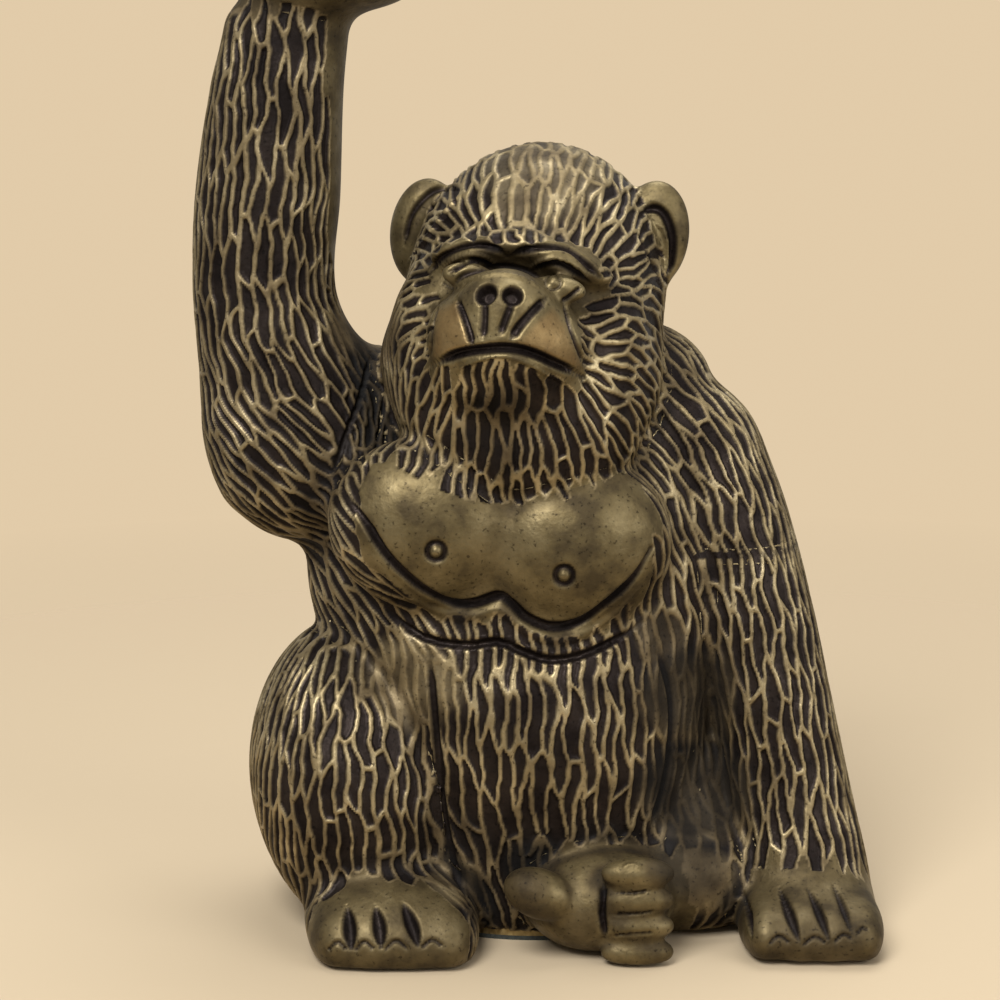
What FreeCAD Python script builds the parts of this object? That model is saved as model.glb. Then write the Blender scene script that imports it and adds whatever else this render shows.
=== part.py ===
import FreeCAD, Part
import math, os
from FreeCAD import Placement, Rotation, Vector

# Seated ape figurine, cast in brass in hollow sections that are pinned together.
# Millimetres. +Z up, +X to the viewer's right, the figure faces -Y.
# The origin is the middle of the torso's foot, on the surface that the felt pad rests on.

SIZES = {
    # The foot of the figure
    "felt_thickness": 1.0,
    "felt_proud": 0.4,
    "plate_thickness": 2.0,
    "plate_lip": 1.4,
    "fit_clearance": 0.15,
    "cut_overrun": 2.0,
    # Hollow castings
    "casting_wall": 3.2,
    "torso_height": 136.0,
    "torso_half_width": 49.0,
    "torso_half_depth": 41.0,
    "torso_middle_x": -9.0,
    "torso_middle_y": -2.0,
    "chest_half_width": 22.0,
    "chest_half_depth": 15.0,
    "chest_half_height": 19.0,
    "nipple_radius": 1.6,
    "nipple_rim": 0.6,
    "shoulder_half_width": 19.0,
    "shoulder_half_depth": 18.0,
    "shoulder_half_height": 15.0,
    "nape_half_width": 17.0,
    "nape_half_depth": 17.0,
    "nape_half_height": 14.0,
    # The arm on the viewer's right, lowered to the ground
    "lowered_arm_length": 121.6,
    "lowered_arm_half_width": 17.5,
    "lowered_arm_half_depth": 19.0,
    "lowered_arm_lean": 37.5,
    "lowered_arm_reach": 28.0,
    "lowered_arm_joint_height": 84.0,
    "finger_half_width": 4.1,
    "finger_half_length": 10.0,
    "finger_half_height": 6.0,
    "finger_pitch": 7.4,
    # The arm on the viewer's left, raised
    "raised_arm_length": 107.0,
    "raised_arm_half_width": 19.0,
    "raised_arm_half_depth": 18.0,
    "raised_arm_lean": 7.5,
    "elbow_half_width": 17.0,
    "elbow_half_depth": 17.5,
    "elbow_half_height": 18.0,
    "biceps_half_width": 17.0,
    "biceps_half_depth": 19.0,
    "biceps_half_height": 21.0,
    # The open hand at the top of the raised arm
    "palm_half_width": 20.0,
    "palm_half_depth": 16.5,
    "palm_half_height": 8.0,
    "palm_hollow_depth": 6.0,
    "raised_finger_half_width": 3.8,
    "raised_finger_half_length": 10.0,
    "raised_finger_pitch": 8.3,
    "raised_fingertip_half_length": 7.5,
    "raised_finger_curl_deg": 35.0,
    "raised_fingertip_curl_deg": 80.0,
    "thumb_half_width": 4.6,
    "thumb_half_length": 10.0,
    "thumb_tilt_deg": -25.0,
    # The haunch and foot on the viewer's left
    "haunch_half_width": 22.5,
    "haunch_half_depth": 33.0,
    "haunch_half_height": 33.0,
    "shin_half_width": 19.0,
    "shin_half_depth": 18.0,
    "shin_half_height": 28.0,
    "foot_half_width": 18.5,
    "foot_half_depth": 18.0,
    "foot_half_height": 12.0,
    "toe_half_width": 5.0,
    "toe_half_length": 9.0,
    "toe_half_height": 6.2,
    "toe_pitch": 8.2,
    # The folded leg and the foot curled in front of the belly
    "folded_thigh_half_width": 27.0,
    "folded_thigh_half_depth": 30.0,
    "folded_thigh_half_height": 27.0,
    "folded_shin_half_width": 25.0,
    "folded_shin_half_depth": 19.0,
    "folded_shin_half_height": 15.0,
    "instep_half_width": 16.5,
    "instep_half_depth": 14.0,
    "instep_half_height": 11.5,
    "big_toe_half_length": 8.0,
    "big_toe_half_width": 5.4,
    "big_toe_tilt_deg": 21.0,
    "curled_toe_half_length": 7.6,
    "curled_toe_half_width": 3.4,
    "curled_toe_pitch": 5.8,
    # The head, in its own frame: it faces -Y and is then rolled and turned
    "head_x": -8.5,
    "head_y": -6.0,
    "head_z": 141.0,
    "head_turn_deg": -10.0,
    "head_roll_deg": 7.0,
    "skull_half_width": 28.5,
    "skull_half_depth": 31.0,
    "skull_half_height": 32.4,
    "brow_half_width": 12.0,
    "brow_half_depth": 6.0,
    "brow_half_height": 4.0,
    "brow_slope_deg": 17.0,
    "cheek_half_width": 13.0,
    "cheek_half_depth": 12.0,
    "cheek_half_height": 14.0,
    "muzzle_half_width": 17.0,
    "muzzle_half_depth": 14.5,
    "muzzle_half_height": 12.0,
    "nose_half_width": 9.5,
    "nose_half_depth": 9.0,
    "nose_half_height": 9.0,
    "nostril_radius": 2.2,
    "nostril_depth": 3.0,
    "eye_half_width": 5.0,
    "eye_half_height": 3.0,
    "eye_half_depth": 3.4,
    "chin_half_width": 15.0,
    "chin_half_depth": 14.0,
    "chin_half_height": 9.0,
    "mouth_half_width": 15.5,
    "mouth_drop": 7.2,
    "mouth_gap": 1.5,
    "mouth_depth": 2.5,
    "beard_half_width": 25.0,
    "beard_half_depth": 19.0,
    "beard_half_height": 19.0,
    "jaw_half_width": 31.0,
    "jaw_half_depth": 28.0,
    "jaw_half_height": 22.0,
    "ear_half_width": 8.0,
    "ear_half_depth": 4.5,
    "ear_half_height": 12.5,
    "ear_rim": 3.0,
    "ear_hollow_depth": 2.5,
    # What joins the castings and closes the foot
    "pin_radius": 2.0,
    "pin_length": 14.0,
    "wrist_pin_length": 11.0,
    "pin_stand_in": 2.5,
    "pin_boss_wall": 2.6,
    "screw_radius": 1.5,
    "screw_length": 9.0,
    "screw_head_radius": 2.9,
    "screw_head_height": 1.5,
    "screw_boss_radius": 5.5,
    "screw_boss_height": 14.0,
}

# Sections of the torso, as shares: rise of the height, shift of the half width and the half depth,
# then width and depth.
TORSO_SHARES = (
    (0.00, 0.00, 0.00, 0.75, 0.84),
    (0.14, 0.00, 0.00, 0.82, 0.93),
    (0.30, 0.00, -0.02, 0.85, 0.99),
    (0.41, -0.02, -0.02, 0.89, 0.97),
    (0.49, -0.04, 0.00, 0.98, 0.91),
    (0.60, -0.05, 0.02, 1.00, 0.87),
    (0.72, -0.03, 0.05, 0.92, 0.82),
    (0.81, 0.00, 0.07, 0.78, 0.68),
    (0.88, 0.02, 0.12, 0.52, 0.52),
    (0.94, 0.02, 0.12, 0.38, 0.42),
    (1.00, 0.02, 0.12, 0.33, 0.36),
)
# Sections of the arms, as shares: rise of the length, shift of the lean and of the reach, then width
# and depth. The lowered arm's run from the ground up to the shoulder, the raised arm's from the elbow up.
LOWERED_ARM_SHARES = (
    (0.00, 0.00, 0.00, 0.90, 0.95),
    (0.11, 0.03, 0.14, 0.86, 0.84),
    (0.25, 0.11, 0.32, 0.82, 0.79),
    (0.41, 0.21, 0.46, 0.80, 0.82),
    (0.59, 0.36, 0.64, 0.86, 0.87),
    (0.74, 0.51, 0.82, 0.91, 0.95),
    (0.82, 0.63, 0.89, 0.97, 1.00),
    (0.92, 0.79, 0.96, 1.00, 0.95),
    (1.00, 1.00, 1.00, 0.86, 0.79),
)
RAISED_ARM_SHARES = (
    (0.00, 0.00, 0.00, 0.80, 0.86),
    (0.11, 0.20, 0.00, 1.00, 1.00),
    (0.28, 0.53, 0.00, 0.95, 0.97),
    (0.42, 0.95, 0.00, 0.83, 0.89),
    (0.61, 0.80, 0.00, 0.84, 0.86),
    (0.82, 0.50, 0.00, 0.77, 0.81),
    (0.94, 0.20, 0.00, 0.72, 0.75),
    (1.00, 0.07, 0.00, 0.72, 0.75),
)
# Places in the body, as shares of the torso's half width, half depth and height.
BODY_PLACE_SHARES = {
    "chest_left": (-0.47, -0.66, 0.68),
    "chest_right": (0.15, -0.66, 0.65),
    "shoulder": (0.43, 0.10, 0.87),
    "nape": (-0.55, 0.10, 0.84),
    "lowered_arm_foot": (1.235, -0.61, 0.0),
    "raised_elbow": (-1.10, -0.12, 0.76),
    "raised_arm_foot": (-1.08, -0.12, 0.71),
    "biceps": (-0.95, -0.05, 0.79),
    "haunch": (-0.86, -0.20, 0.25),
    "shin": (-0.78, -0.56, 0.20),
    "foot": (-0.65, -0.80, 0.05),
    "folded_thigh": (0.60, 0.12, 0.18),
    "folded_shin": (0.64, -0.42, 0.09),
    "instep": (0.28, -0.88, 0.08),
}
# Places on a form of the body, as shares of that form's half sizes, from its middle.
CARRIED_PLACE_SHARES = {
    "nipple_left": (0.08, -0.975, -0.21),
    "nipple_right": (-0.07, -0.975, -0.21),
    "toes": (0.08, -0.68, -0.17),
    "big_toe": (-0.79, -0.75, 0.37),
    "curled_toes": (0.48, -0.88, 0.06),
}
# Places in the raised hand: the palm from the wrist, the rest from the palm, as shares of the palm's
# half sizes; then how far along a finger its middle, its knuckle and its tip's middle lie.
PALM_PLACE_SHARE = (0.42, -0.08, 0.65)
PALM_HOLLOW_SHARE = 0.7
# A ball is built of six patches, each spanned by this many steps, turned from the one on its top.
BALL_STEPS = 8
BALL_TURNS = (
    Rotation(),
    Rotation(Vector(1, 0, 0), 180),
    Rotation(Vector(1, 0, 0), 90),
    Rotation(Vector(1, 0, 0), -90),
    Rotation(Vector(0, 1, 0), 90),
    Rotation(Vector(0, 1, 0), -90),
)
FINGER_ROOT_SHARE = 0.65
FINGER_MIDDLE_SHARE = 0.8
KNUCKLE_SHARE = 1.6
FINGERTIP_SHARE = 0.7
THUMB_PLACE_SHARE = (-0.5, -0.9, 0.57)
# The row of fingers on the ground: shares of the lowered arm's half sizes and of a finger's half height.
FINGERS_PLACE_SHARE = (-0.04, -0.84, 0.78)
# Places in the head, as shares of the skull's half sizes.
HEAD_PLACE_SHARES = {
    "brow": (0.34, -0.98, 0.31),
    "cheek": (0.50, -0.60, -0.22),
    "eye": (0.34, -1.12, 0.11),
    "muzzle": (0.00, -1.13, -0.24),
    "nose": (0.00, -1.32, 0.02),
    "nostril": (0.10, -1.63, 0.11),
    "chin": (0.00, -1.00, -0.50),
    "mouth": (0.00, -1.45, -0.31),
    "skull": (0.00, 0.00, 0.00),
    "jaw": (0.00, -0.32, -0.52),
    "beard": (0.10, -0.62, -0.88),
    "ear": (0.96, 0.08, 0.37),
}
# Screws of the base plate, as shares of the plate's half width and half depth.
SCREW_PLACE_SHARES = ((-0.55, -0.62), (0.55, -0.62), (-0.55, 0.62), (0.55, 0.62))
# Pins of each joint on the torso's side: heights as shares of its height, places as shares of its half depth.
PIN_HEIGHT_SHARES = {
    "right_leg": (0.16, 0.34),
    "left_leg": (0.08, 0.20),
    "lowered_arm": (0.42, 0.54),
    "raised_arm": (0.73, 0.79),
    "neck": (0.93,),
}
PIN_DEPTH_SHARES = {
    "right_leg": -0.10,
    "left_leg": 0.10,
    "lowered_arm": -0.15,
    "raised_arm": -0.02,
    "neck": 0.12,
}
JOINT_SIDES = {"right_leg": -1, "left_leg": 1, "lowered_arm": 1, "raised_arm": -1}
WRIST_PIN_SHARE = 0.45
FINGER_COUNT = 4
RING_STEPS = 12
RING_START_DEG = 107
LIMB_STEPS = 18
SNAP_SHARE = 0.00001

document = FreeCAD.newDocument("ape_figurine")
sheet = document.addObject("Spreadsheet::Sheet", "sizes")


def fill_sheet():
    for row, (name, value) in enumerate(SIZES.items(), start=1):
        sheet.set(f"A{row}", name.replace("_", " "))
        sheet.set(f"B{row}", str(value))
        sheet.setAlias(f"B{row}", name)
    document.recompute()


def size(name):
    return float(sheet.get(name))


def bind(item, **expressions):
    for name, expression in expressions.items():
        item.setExpression(name, expression)
    return item


def body_place(name):
    across, along, up = BODY_PLACE_SHARES[name]
    return Vector(
        size("torso_middle_x") + across * size("torso_half_width"),
        size("torso_middle_y") + along * size("torso_half_depth"),
        up * size("torso_height"),
    )


def carried_place(name, carrier, sizes):
    across, along, up = CARRIED_PLACE_SHARES[name]
    return body_place(carrier) + Vector(
        across * size(f"{sizes}_half_width"),
        along * size(f"{sizes}_half_depth"),
        up * size(f"{sizes}_half_height"),
    )


def head_frame():
    centre = Vector(size("head_x"), size("head_y"), size("head_z"))
    turn = Rotation(Vector(0, 0, 1), size("head_turn_deg"))
    roll = Rotation(Vector(0, 1, 0), size("head_roll_deg"))
    return Placement(centre, turn.multiply(roll))


def head_place(name, side=1):
    across, along, up = HEAD_PLACE_SHARES[name]
    return Vector(
        side * across * size("skull_half_width"),
        along * size("skull_half_depth"),
        up * size("skull_half_height"),
    )


def spline_through(points):
    """A curve through the points of a ball's arc, which it reaches at even steps."""
    curve = Part.BSplineCurve()
    evenly = [step / BALL_STEPS for step in range(BALL_STEPS + 1)]
    curve.interpolate(Points=points, Parameters=evenly)
    return curve


def ball_patch():
    """A sixth of a round ball, from one diagonal plane to the next, without a pole or a seam."""
    rows = []
    for row_step in range(BALL_STEPS + 1):
        across = math.tan(math.radians(90 * row_step / BALL_STEPS - 45))
        row = []
        for step in range(BALL_STEPS + 1):
            along = math.tan(math.radians(90 * step / BALL_STEPS - 45))
            row.append(Vector(across, along, 1).normalize())
        rows.append(row)
    # The rows are splined first and their poles second, so both ways match and all six patches meet.
    row_poles = [spline_through(row).getPoles() for row in rows]
    column_poles = [spline_through(list(column)).getPoles() for column in zip(*row_poles)]
    edge = spline_through(rows[0])
    repeats = edge.getMultiplicities()
    knots = edge.getKnots()
    net = [list(row) for row in zip(*column_poles)]
    surface = Part.BSplineSurface()
    both_ways = (repeats, repeats, knots, knots, False, False, edge.Degree, edge.Degree)
    surface.buildFromPolesMultsKnots(net, *both_ways)
    return surface


def egg(name, centre, width, depth, height, turn=None, frame=None, inset=None):
    """An ellipsoid of six equal patches; its half sizes are numbers or names of cells."""
    half_sizes = []
    for item in (width, depth, height):
        half_size = size(item) if isinstance(item, str) else item
        half_sizes.append(half_size - (size(inset) if inset else 0))
    faces = []
    for patch_turn in BALL_TURNS:
        patch = ball_patch()
        for row_number, row in enumerate(patch.getPoles(), start=1):
            for number, pole in enumerate(row, start=1):
                turned = patch_turn.multVec(pole)
                stretched = [part * half_size for part, half_size in zip(turned, half_sizes)]
                patch.setPole(row_number, number, Vector(*stretched))
        faces.append(patch.toShape())
    shell = Part.makeShell(faces)
    shell.sewShape()
    item = document.addObject("Part::Feature", name)
    item.Shape = Part.makeSolid(shell)
    local = Placement(centre, turn or Rotation())
    item.Placement = frame.multiply(local) if frame else local
    return item


def rod(name, start, direction, radius, length):
    """A cylinder that runs from start along a direction."""
    item = document.addObject("Part::Cylinder", name)
    bind(item, Radius=radius, Height=length)
    item.Placement = Placement(start, Rotation(Vector(0, 0, 1), direction))
    return item


def apart(name, items):
    """Several solids that lie clear of each other, kept together as one tool."""
    item = document.addObject("Part::Compound", name)
    item.Links = items
    return item


def joined(name, items):
    """Forms that run into each other, fused one after the other."""
    whole = items[0]
    for number, form in enumerate(items[1:], start=2):
        item = document.addObject("Part::Fuse", name if number == len(items) else f"{name}_{number}")
        item.Base = whole
        item.Tool = form
        whole = item
    return whole


def cut(name, base, *tools):
    """The base less each tool in turn."""
    whole = base
    for number, tool in enumerate(tools, start=1):
        item = document.addObject("Part::Cut", name if number == len(tools) else f"{name}_{number}")
        item.Base = whole
        item.Tool = tool
        whole = item
    return whole


def carved(name, base, *tools):
    """The base less each tool in turn, worked out on copies, so that no cut changes what the next one uses."""
    document.recompute()
    solid = base.Shape.copy()
    for tool in tools:
        solid = solid.cut(tool.Shape.copy())
    item = document.addObject("Part::Feature", name)
    item.Shape = solid
    return item


def ring(centre, half_width, half_depth):
    """Points round an ellipse, from the back and all the way round, away from the pins."""
    points = []
    for step in range(RING_STEPS + 1):
        angle = math.radians(RING_START_DEG + 360 * step / RING_STEPS)
        points.append(centre + Vector(half_width * math.cos(angle), half_depth * math.sin(angle), 0))
    return points


def share_at(shares, rise, column):
    """A column's value at any rise, on a smooth curve through the rows of a table of shares."""
    last = len(shares) - 1
    index = max(i for i in range(last) if shares[i][0] <= rise)
    low, high = shares[index], shares[index + 1]
    span = high[0] - low[0]
    before, after = shares[max(index - 1, 0)], shares[min(index + 2, last)]
    low_slope = (high[column] - before[column]) / (high[0] - before[0])
    high_slope = (after[column] - low[column]) / (after[0] - low[0])
    part = (rise - low[0]) / span
    blend = part * part * (3 - 2 * part)
    value = low[column] + blend * (high[column] - low[column])
    value += span * low_slope * part * (1 - part) ** 2
    return value - span * high_slope * part * part * (1 - part)


def limb(name, foot, sizes, shares, wall, floor):
    """A smooth closed form through rings that stand above each other.

    The hollow inside it leaves a wall at the sides and the top, and a floor below."""
    length, lean, reach, half_width, half_depth = sizes
    rings = []
    for step in range(LIMB_STEPS + 1):
        rise = step / LIMB_STEPS
        shift_x = lean * share_at(shares, rise, 1)
        shift_y = reach * share_at(shares, rise, 2)
        centre = foot + Vector(shift_x, shift_y, floor + (length - floor - wall) * rise)
        width = half_width * share_at(shares, rise, 3) - wall
        depth = half_depth * share_at(shares, rise, 4) - wall
        rings.append(ring(centre, width, depth))
    surface = Part.BSplineSurface()
    surface.interpolate(rings)
    side = surface.toShape()
    faces = [side]
    for end in (rings[0], rings[-1]):
        rims = [edge for edge in side.Edges if edge.Vertexes[0].Point.isEqual(end[0], edge.Length * SNAP_SHARE)]
        rims = [edge for edge in rims if edge.Vertexes[-1].Point.isEqual(end[0], edge.Length * SNAP_SHARE)]
        faces.append(Part.Face(Part.Wire(rims)))
    shell = Part.makeShell(faces)
    shell.sewShape()
    item = document.addObject("Part::Feature", name)
    item.Shape = Part.makeSolid(shell)
    return item


def below_ground():
    """What lies under the level that the castings stand on, used to cut them flat."""
    item = document.addObject("Part::Box", "below_ground")
    bind(item, Length="sizes.torso_height * 2", Width="sizes.torso_height * 2")
    bind(item, Height="sizes.torso_height")
    reach = size("torso_height")
    item.Placement = Placement(Vector(-reach, -reach, size("felt_proud") - reach), Rotation())
    return item


def torso_sizes():
    return (
        size("torso_height"),
        size("torso_half_width"),
        size("torso_half_depth"),
        size("torso_half_width"),
        size("torso_half_depth"),
    )


def lowered_arm_sizes():
    return (
        size("lowered_arm_length"),
        -size("lowered_arm_lean"),
        size("lowered_arm_reach"),
        size("lowered_arm_half_width"),
        size("lowered_arm_half_depth"),
    )


def raised_arm_sizes():
    return (
        size("raised_arm_length"),
        -size("raised_arm_lean"),
        0.0,
        size("raised_arm_half_width"),
        size("raised_arm_half_depth"),
    )


def body_egg(name, sizes, turn=None, inset=None, place=None):
    """An egg of the body: its half sizes' names start with sizes."""
    return egg(
        name,
        body_place(place or sizes),
        f"{sizes}_half_width",
        f"{sizes}_half_depth",
        f"{sizes}_half_height",
        turn,
        None,
        inset,
    )


def head_egg(name, part, side=1, turn=None, inset=None):
    return egg(
        name,
        head_place(part, side),
        f"{part}_half_width",
        f"{part}_half_depth",
        f"{part}_half_height",
        turn,
        head_frame(),
        inset,
    )


def barrel(name, wall=0.0, floor=0.0):
    """The torso itself, from the foot to the neck's stump."""
    foot = Vector(size("torso_middle_x"), size("torso_middle_y"), size("felt_proud"))
    return limb(name, foot, torso_sizes(), TORSO_SHARES, wall, floor)


def lowered_arm_foot():
    return body_place("lowered_arm_foot") + Vector(0, 0, size("felt_proud"))


def lowered_arm_limb(name, wall=0.0):
    return limb(name, lowered_arm_foot(), lowered_arm_sizes(), LOWERED_ARM_SHARES, wall, wall)


def raised_arm_limb(name, wall=0.0):
    return limb(name, body_place("raised_arm_foot"), raised_arm_sizes(), RAISED_ARM_SHARES, wall, wall)


def above_joint(name, rise=0.0):
    """All that lies over the flat joint of the lowered arm."""
    item = document.addObject("Part::Box", name)
    bind(item, Length="sizes.torso_height * 2", Width="sizes.torso_height * 2")
    bind(item, Height="sizes.torso_height")
    reach = size("torso_height")
    level = size("lowered_arm_joint_height") + rise
    item.Placement = Placement(Vector(-reach, -reach, level), Rotation())
    return item


def common(name, first, second):
    item = document.addObject("Part::MultiCommon", name)
    item.Shapes = [first, second]
    return item


def finger_row(name, middle):
    """Fingers or toes side by side along X."""
    row = []
    sizes = (f"{name}_half_width", f"{name}_half_length", f"{name}_half_height")
    for number in range(FINGER_COUNT):
        across = (number - (FINGER_COUNT - 1) / 2) * size(f"{name}_pitch")
        row.append(egg(f"{name}_{number + 1}", middle + Vector(across, 0, 0), *sizes))
    return row


def torso_forms():
    """The torso's outside, with the shoulder and upper arm over the flat joint, as separate forms."""
    arm = common("upper_arm", lowered_arm_limb("upper_arm_limb"), above_joint("over_arm_joint"))
    forms = {"barrel": barrel("barrel"), "upper_arm": arm}
    forms["shoulder"] = body_egg("shoulder", "shoulder")
    forms["nape"] = body_egg("nape", "nape")
    for side in ("left", "right"):
        forms[f"chest_{side}"] = body_egg(f"chest_{side}", "chest", place=f"chest_{side}")
        nipple = document.addObject("Part::Torus", f"nipple_{side}")
        bind(nipple, Radius1="sizes.nipple_radius", Radius2="sizes.nipple_rim")
        place = carried_place(f"nipple_{side}", f"chest_{side}", "chest")
        nipple.Placement = Placement(place, Rotation(Vector(1, 0, 0), 90))
        forms[f"nipple_{side}"] = nipple
    return forms


def lowered_arm_outside():
    across, along, up = FINGERS_PLACE_SHARE
    middle = lowered_arm_foot() + Vector(
        across * size("lowered_arm_half_width"),
        along * size("lowered_arm_half_depth"),
        up * size("finger_half_height"),
    )
    below = cut("forearm", lowered_arm_limb("forearm_limb"), above_joint("over_forearm"))
    return joined("lowered_arm_outside", [below] + finger_row("finger", middle))


def raised_arm_outside():
    forms = [raised_arm_limb("raised_limb")]
    forms.append(body_egg("elbow", "elbow", place="raised_elbow"))
    forms.append(body_egg("biceps", "biceps"))
    return joined("raised_arm_outside", forms)


def right_leg_outside():
    forms = [body_egg("haunch", "haunch"), body_egg("shin", "shin"), body_egg("foot", "foot")]
    return joined("right_leg_outside", forms + finger_row("toe", carried_place("toes", "foot", "foot")))


def left_leg_outside():
    forms = [body_egg("folded_thigh", "folded_thigh"), body_egg("folded_shin", "folded_shin")]
    forms.append(body_egg("instep", "instep"))
    tilt = Rotation(Vector(0, 1, 0), size("big_toe_tilt_deg"))
    place = carried_place("big_toe", "instep", "instep")
    width = "big_toe_half_width"
    forms.append(egg("big_toe", place, "big_toe_half_length", width, width, tilt))
    place = carried_place("curled_toes", "instep", "instep")
    width = "curled_toe_half_width"
    for number in range(FINGER_COUNT):
        rise = (number - (FINGER_COUNT - 1) / 2) * size("curled_toe_pitch")
        centre = place + Vector(0, 0, rise)
        forms.append(egg(f"curled_toe_{number + 1}", centre, "curled_toe_half_length", width, width))
    return joined("left_leg_outside", forms)


def head_outside():
    forms = [head_egg("skull", "skull")]
    for part in ("jaw", "beard", "muzzle", "nose", "chin"):
        forms.append(head_egg(part, part))
    for side, word in ((-1, "left"), (1, "right")):
        slope = Rotation(Vector(0, 1, 0), side * size("brow_slope_deg"))
        forms.append(head_egg(f"brow_{word}", "brow", side, slope))
        forms.append(head_egg(f"eye_{word}", "eye", side))
        forms.append(head_egg(f"cheek_{word}", "cheek", side))
        forms.append(head_egg(f"ear_{word}", "ear", side))
    return joined("head_outside", forms)


def face_cuts():
    """Nostrils, and the hollows of the ears."""
    frame = head_frame()
    inwards = frame.Rotation.multVec(Vector(0, 1, 0))
    cuts = []
    for side, word in ((-1, "left"), (1, "right")):
        start = frame.multVec(head_place("nostril", side)) - inwards * size("nostril_depth")
        cuts.append(rod(f"nostril_{word}", start, inwards, "sizes.nostril_radius", "sizes.nostril_depth * 2"))
        hollow = head_place("ear", side) - Vector(0, size("ear_half_depth"), 0)
        width = size("ear_half_width") - size("ear_rim")
        height = size("ear_half_height") - size("ear_rim")
        cuts.append(egg(f"ear_hollow_{word}", hollow, width, "ear_hollow_depth", height, None, frame))
    return cuts


def mouth_groove():
    """A bent slot over a circle through the mouth's middle and its two ends, as deep as the mouth."""
    half = size("mouth_half_width")
    drop = size("mouth_drop")
    radius = (half * half + drop * drop) / (2 * drop)
    frame = head_frame()
    middle = head_place("mouth")
    centre = frame.multVec(middle - Vector(0, 0, radius))
    sweep = 2 * math.degrees(math.asin(half / radius))
    # The cylinder's own angle starts at its +X side, so it is turned until its middle points up.
    turn = frame.Rotation.multiply(Rotation(Vector(1, 0, 0), -90))
    turn = turn.multiply(Rotation(Vector(0, 0, 1), -90 - sweep / 2))
    pieces = []
    for name, more, angle in (("mouth_over", 0.5, sweep), ("mouth_under", -0.5, 360)):
        item = document.addObject("Part::Cylinder", name)
        item.Radius = radius + more * size("mouth_gap")
        item.Angle = angle
        bind(item, Height="sizes.muzzle_half_depth * 2")
        back = frame.Rotation.multVec(Vector(0, size("muzzle_half_depth"), 0))
        item.Placement = Placement(centre - back, turn)
        pieces.append(item)
    slot = cut("mouth_slot", *pieces)
    deep = egg(
        "mouth_floor",
        head_place("muzzle"),
        "muzzle_half_width",
        "muzzle_half_depth",
        "muzzle_half_height",
        None,
        frame,
        "mouth_depth",
    )
    return cut("mouth_groove", slot, deep)


def wrist_top():
    rise, lean_share = RAISED_ARM_SHARES[-1][:2]
    shift = Vector(-size("raised_arm_lean") * lean_share, 0, size("raised_arm_length") * rise)
    return body_place("raised_arm_foot") + shift


def on_palm(shares):
    across, along, up = shares
    return Vector(
        across * size("palm_half_width"), along * size("palm_half_depth"), up * size("palm_half_height")
    )


def raised_fingers(middle):
    """Four fingers, each of two parts, that curl up from the palm's edge towards +X."""
    forms = []
    width = "raised_finger_half_width"
    curl = Rotation(Vector(0, 1, 0), -size("raised_finger_curl_deg"))
    tip_curl = Rotation(Vector(0, 1, 0), -size("raised_fingertip_curl_deg"))
    along_finger = curl.multVec(Vector(size("raised_finger_half_length"), 0, 0))
    along_tip = tip_curl.multVec(Vector(size("raised_fingertip_half_length"), 0, 0))
    for number in range(FINGER_COUNT):
        along = (number - (FINGER_COUNT - 1) / 2) * size("raised_finger_pitch")
        root = middle + Vector(size("palm_half_width") * FINGER_ROOT_SHARE, along, 0)
        name = f"raised_finger_{number + 1}"
        centre = root + along_finger * FINGER_MIDDLE_SHARE
        forms.append(egg(name, centre, "raised_finger_half_length", width, width, curl))
        name = f"raised_fingertip_{number + 1}"
        centre = root + along_finger * KNUCKLE_SHARE + along_tip * FINGERTIP_SHARE
        forms.append(egg(name, centre, "raised_fingertip_half_length", width, width, tip_curl))
    return forms


def hand_outside():
    """An open cupped hand over the wrist: the thumb to -Y, four fingers to +X."""
    middle = wrist_top() + on_palm(PALM_PLACE_SHARE)
    palm = egg("palm", middle, "palm_half_width", "palm_half_depth", "palm_half_height")
    width = size("palm_half_width") * PALM_HOLLOW_SHARE
    depth = size("palm_half_depth") * PALM_HOLLOW_SHARE
    rim_middle = middle + Vector(0, 0, size("palm_half_height"))
    hollow = egg("palm_hollow", rim_middle, width, depth, "palm_hollow_depth")
    tilt = Rotation(Vector(1, 0, 0), size("thumb_tilt_deg"))
    sizes = ("thumb_half_width", "thumb_half_length", "thumb_half_width")
    thumb = egg("raised_thumb", middle + on_palm(THUMB_PLACE_SHARE), *sizes, tilt)
    forms = [cut("cupped_palm", palm, hollow)] + raised_fingers(middle) + [thumb]
    return joined("hand_outside", forms)


def pins(name, joints, length):
    """Blind pins driven from inside: each stands in the hollow, then crosses the wall."""
    items = []
    for number, (place, direction) in enumerate(joints, start=1):
        start = place - direction * (size("casting_wall") + size("pin_stand_in"))
        items.append(rod(f"{name}_{number}", start, direction, "sizes.pin_radius", f"sizes.{length}"))
    return apart(name, items)


def pin_holes(name, joints, length):
    items = []
    for number, (place, direction) in enumerate(joints, start=1):
        start = place - direction * (size("casting_wall") + size("pin_stand_in") + size("cut_overrun"))
        radius = "sizes.pin_radius + sizes.fit_clearance"
        depth = f"sizes.{length} + sizes.cut_overrun + sizes.fit_clearance"
        items.append(rod(f"{name}_hole_{number}", start, direction, radius, depth))
    return items


def pin_bosses(name, joints, reach):
    items = []
    for number, (place, direction) in enumerate(joints, start=1):
        radius = "sizes.pin_radius + sizes.pin_boss_wall"
        items.append(rod(f"{name}_boss_{number}", place, direction, radius, reach))
    return items


def joint_places(name, side):
    """The pins' places on the torso's side, one over the other."""
    places = []
    for share in PIN_HEIGHT_SHARES[name]:
        shift = share_at(TORSO_SHARES, share, 1)
        width = share_at(TORSO_SHARES, share, 3)
        across = (shift + side * width) * size("torso_half_width")
        along = PIN_DEPTH_SHARES[name] * size("torso_half_depth")
        rise = share * size("torso_height")
        place = Vector(size("torso_middle_x") + across, size("torso_middle_y") + along, rise)
        places.append((place, Vector(side, 0, 0)))
    return places


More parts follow.
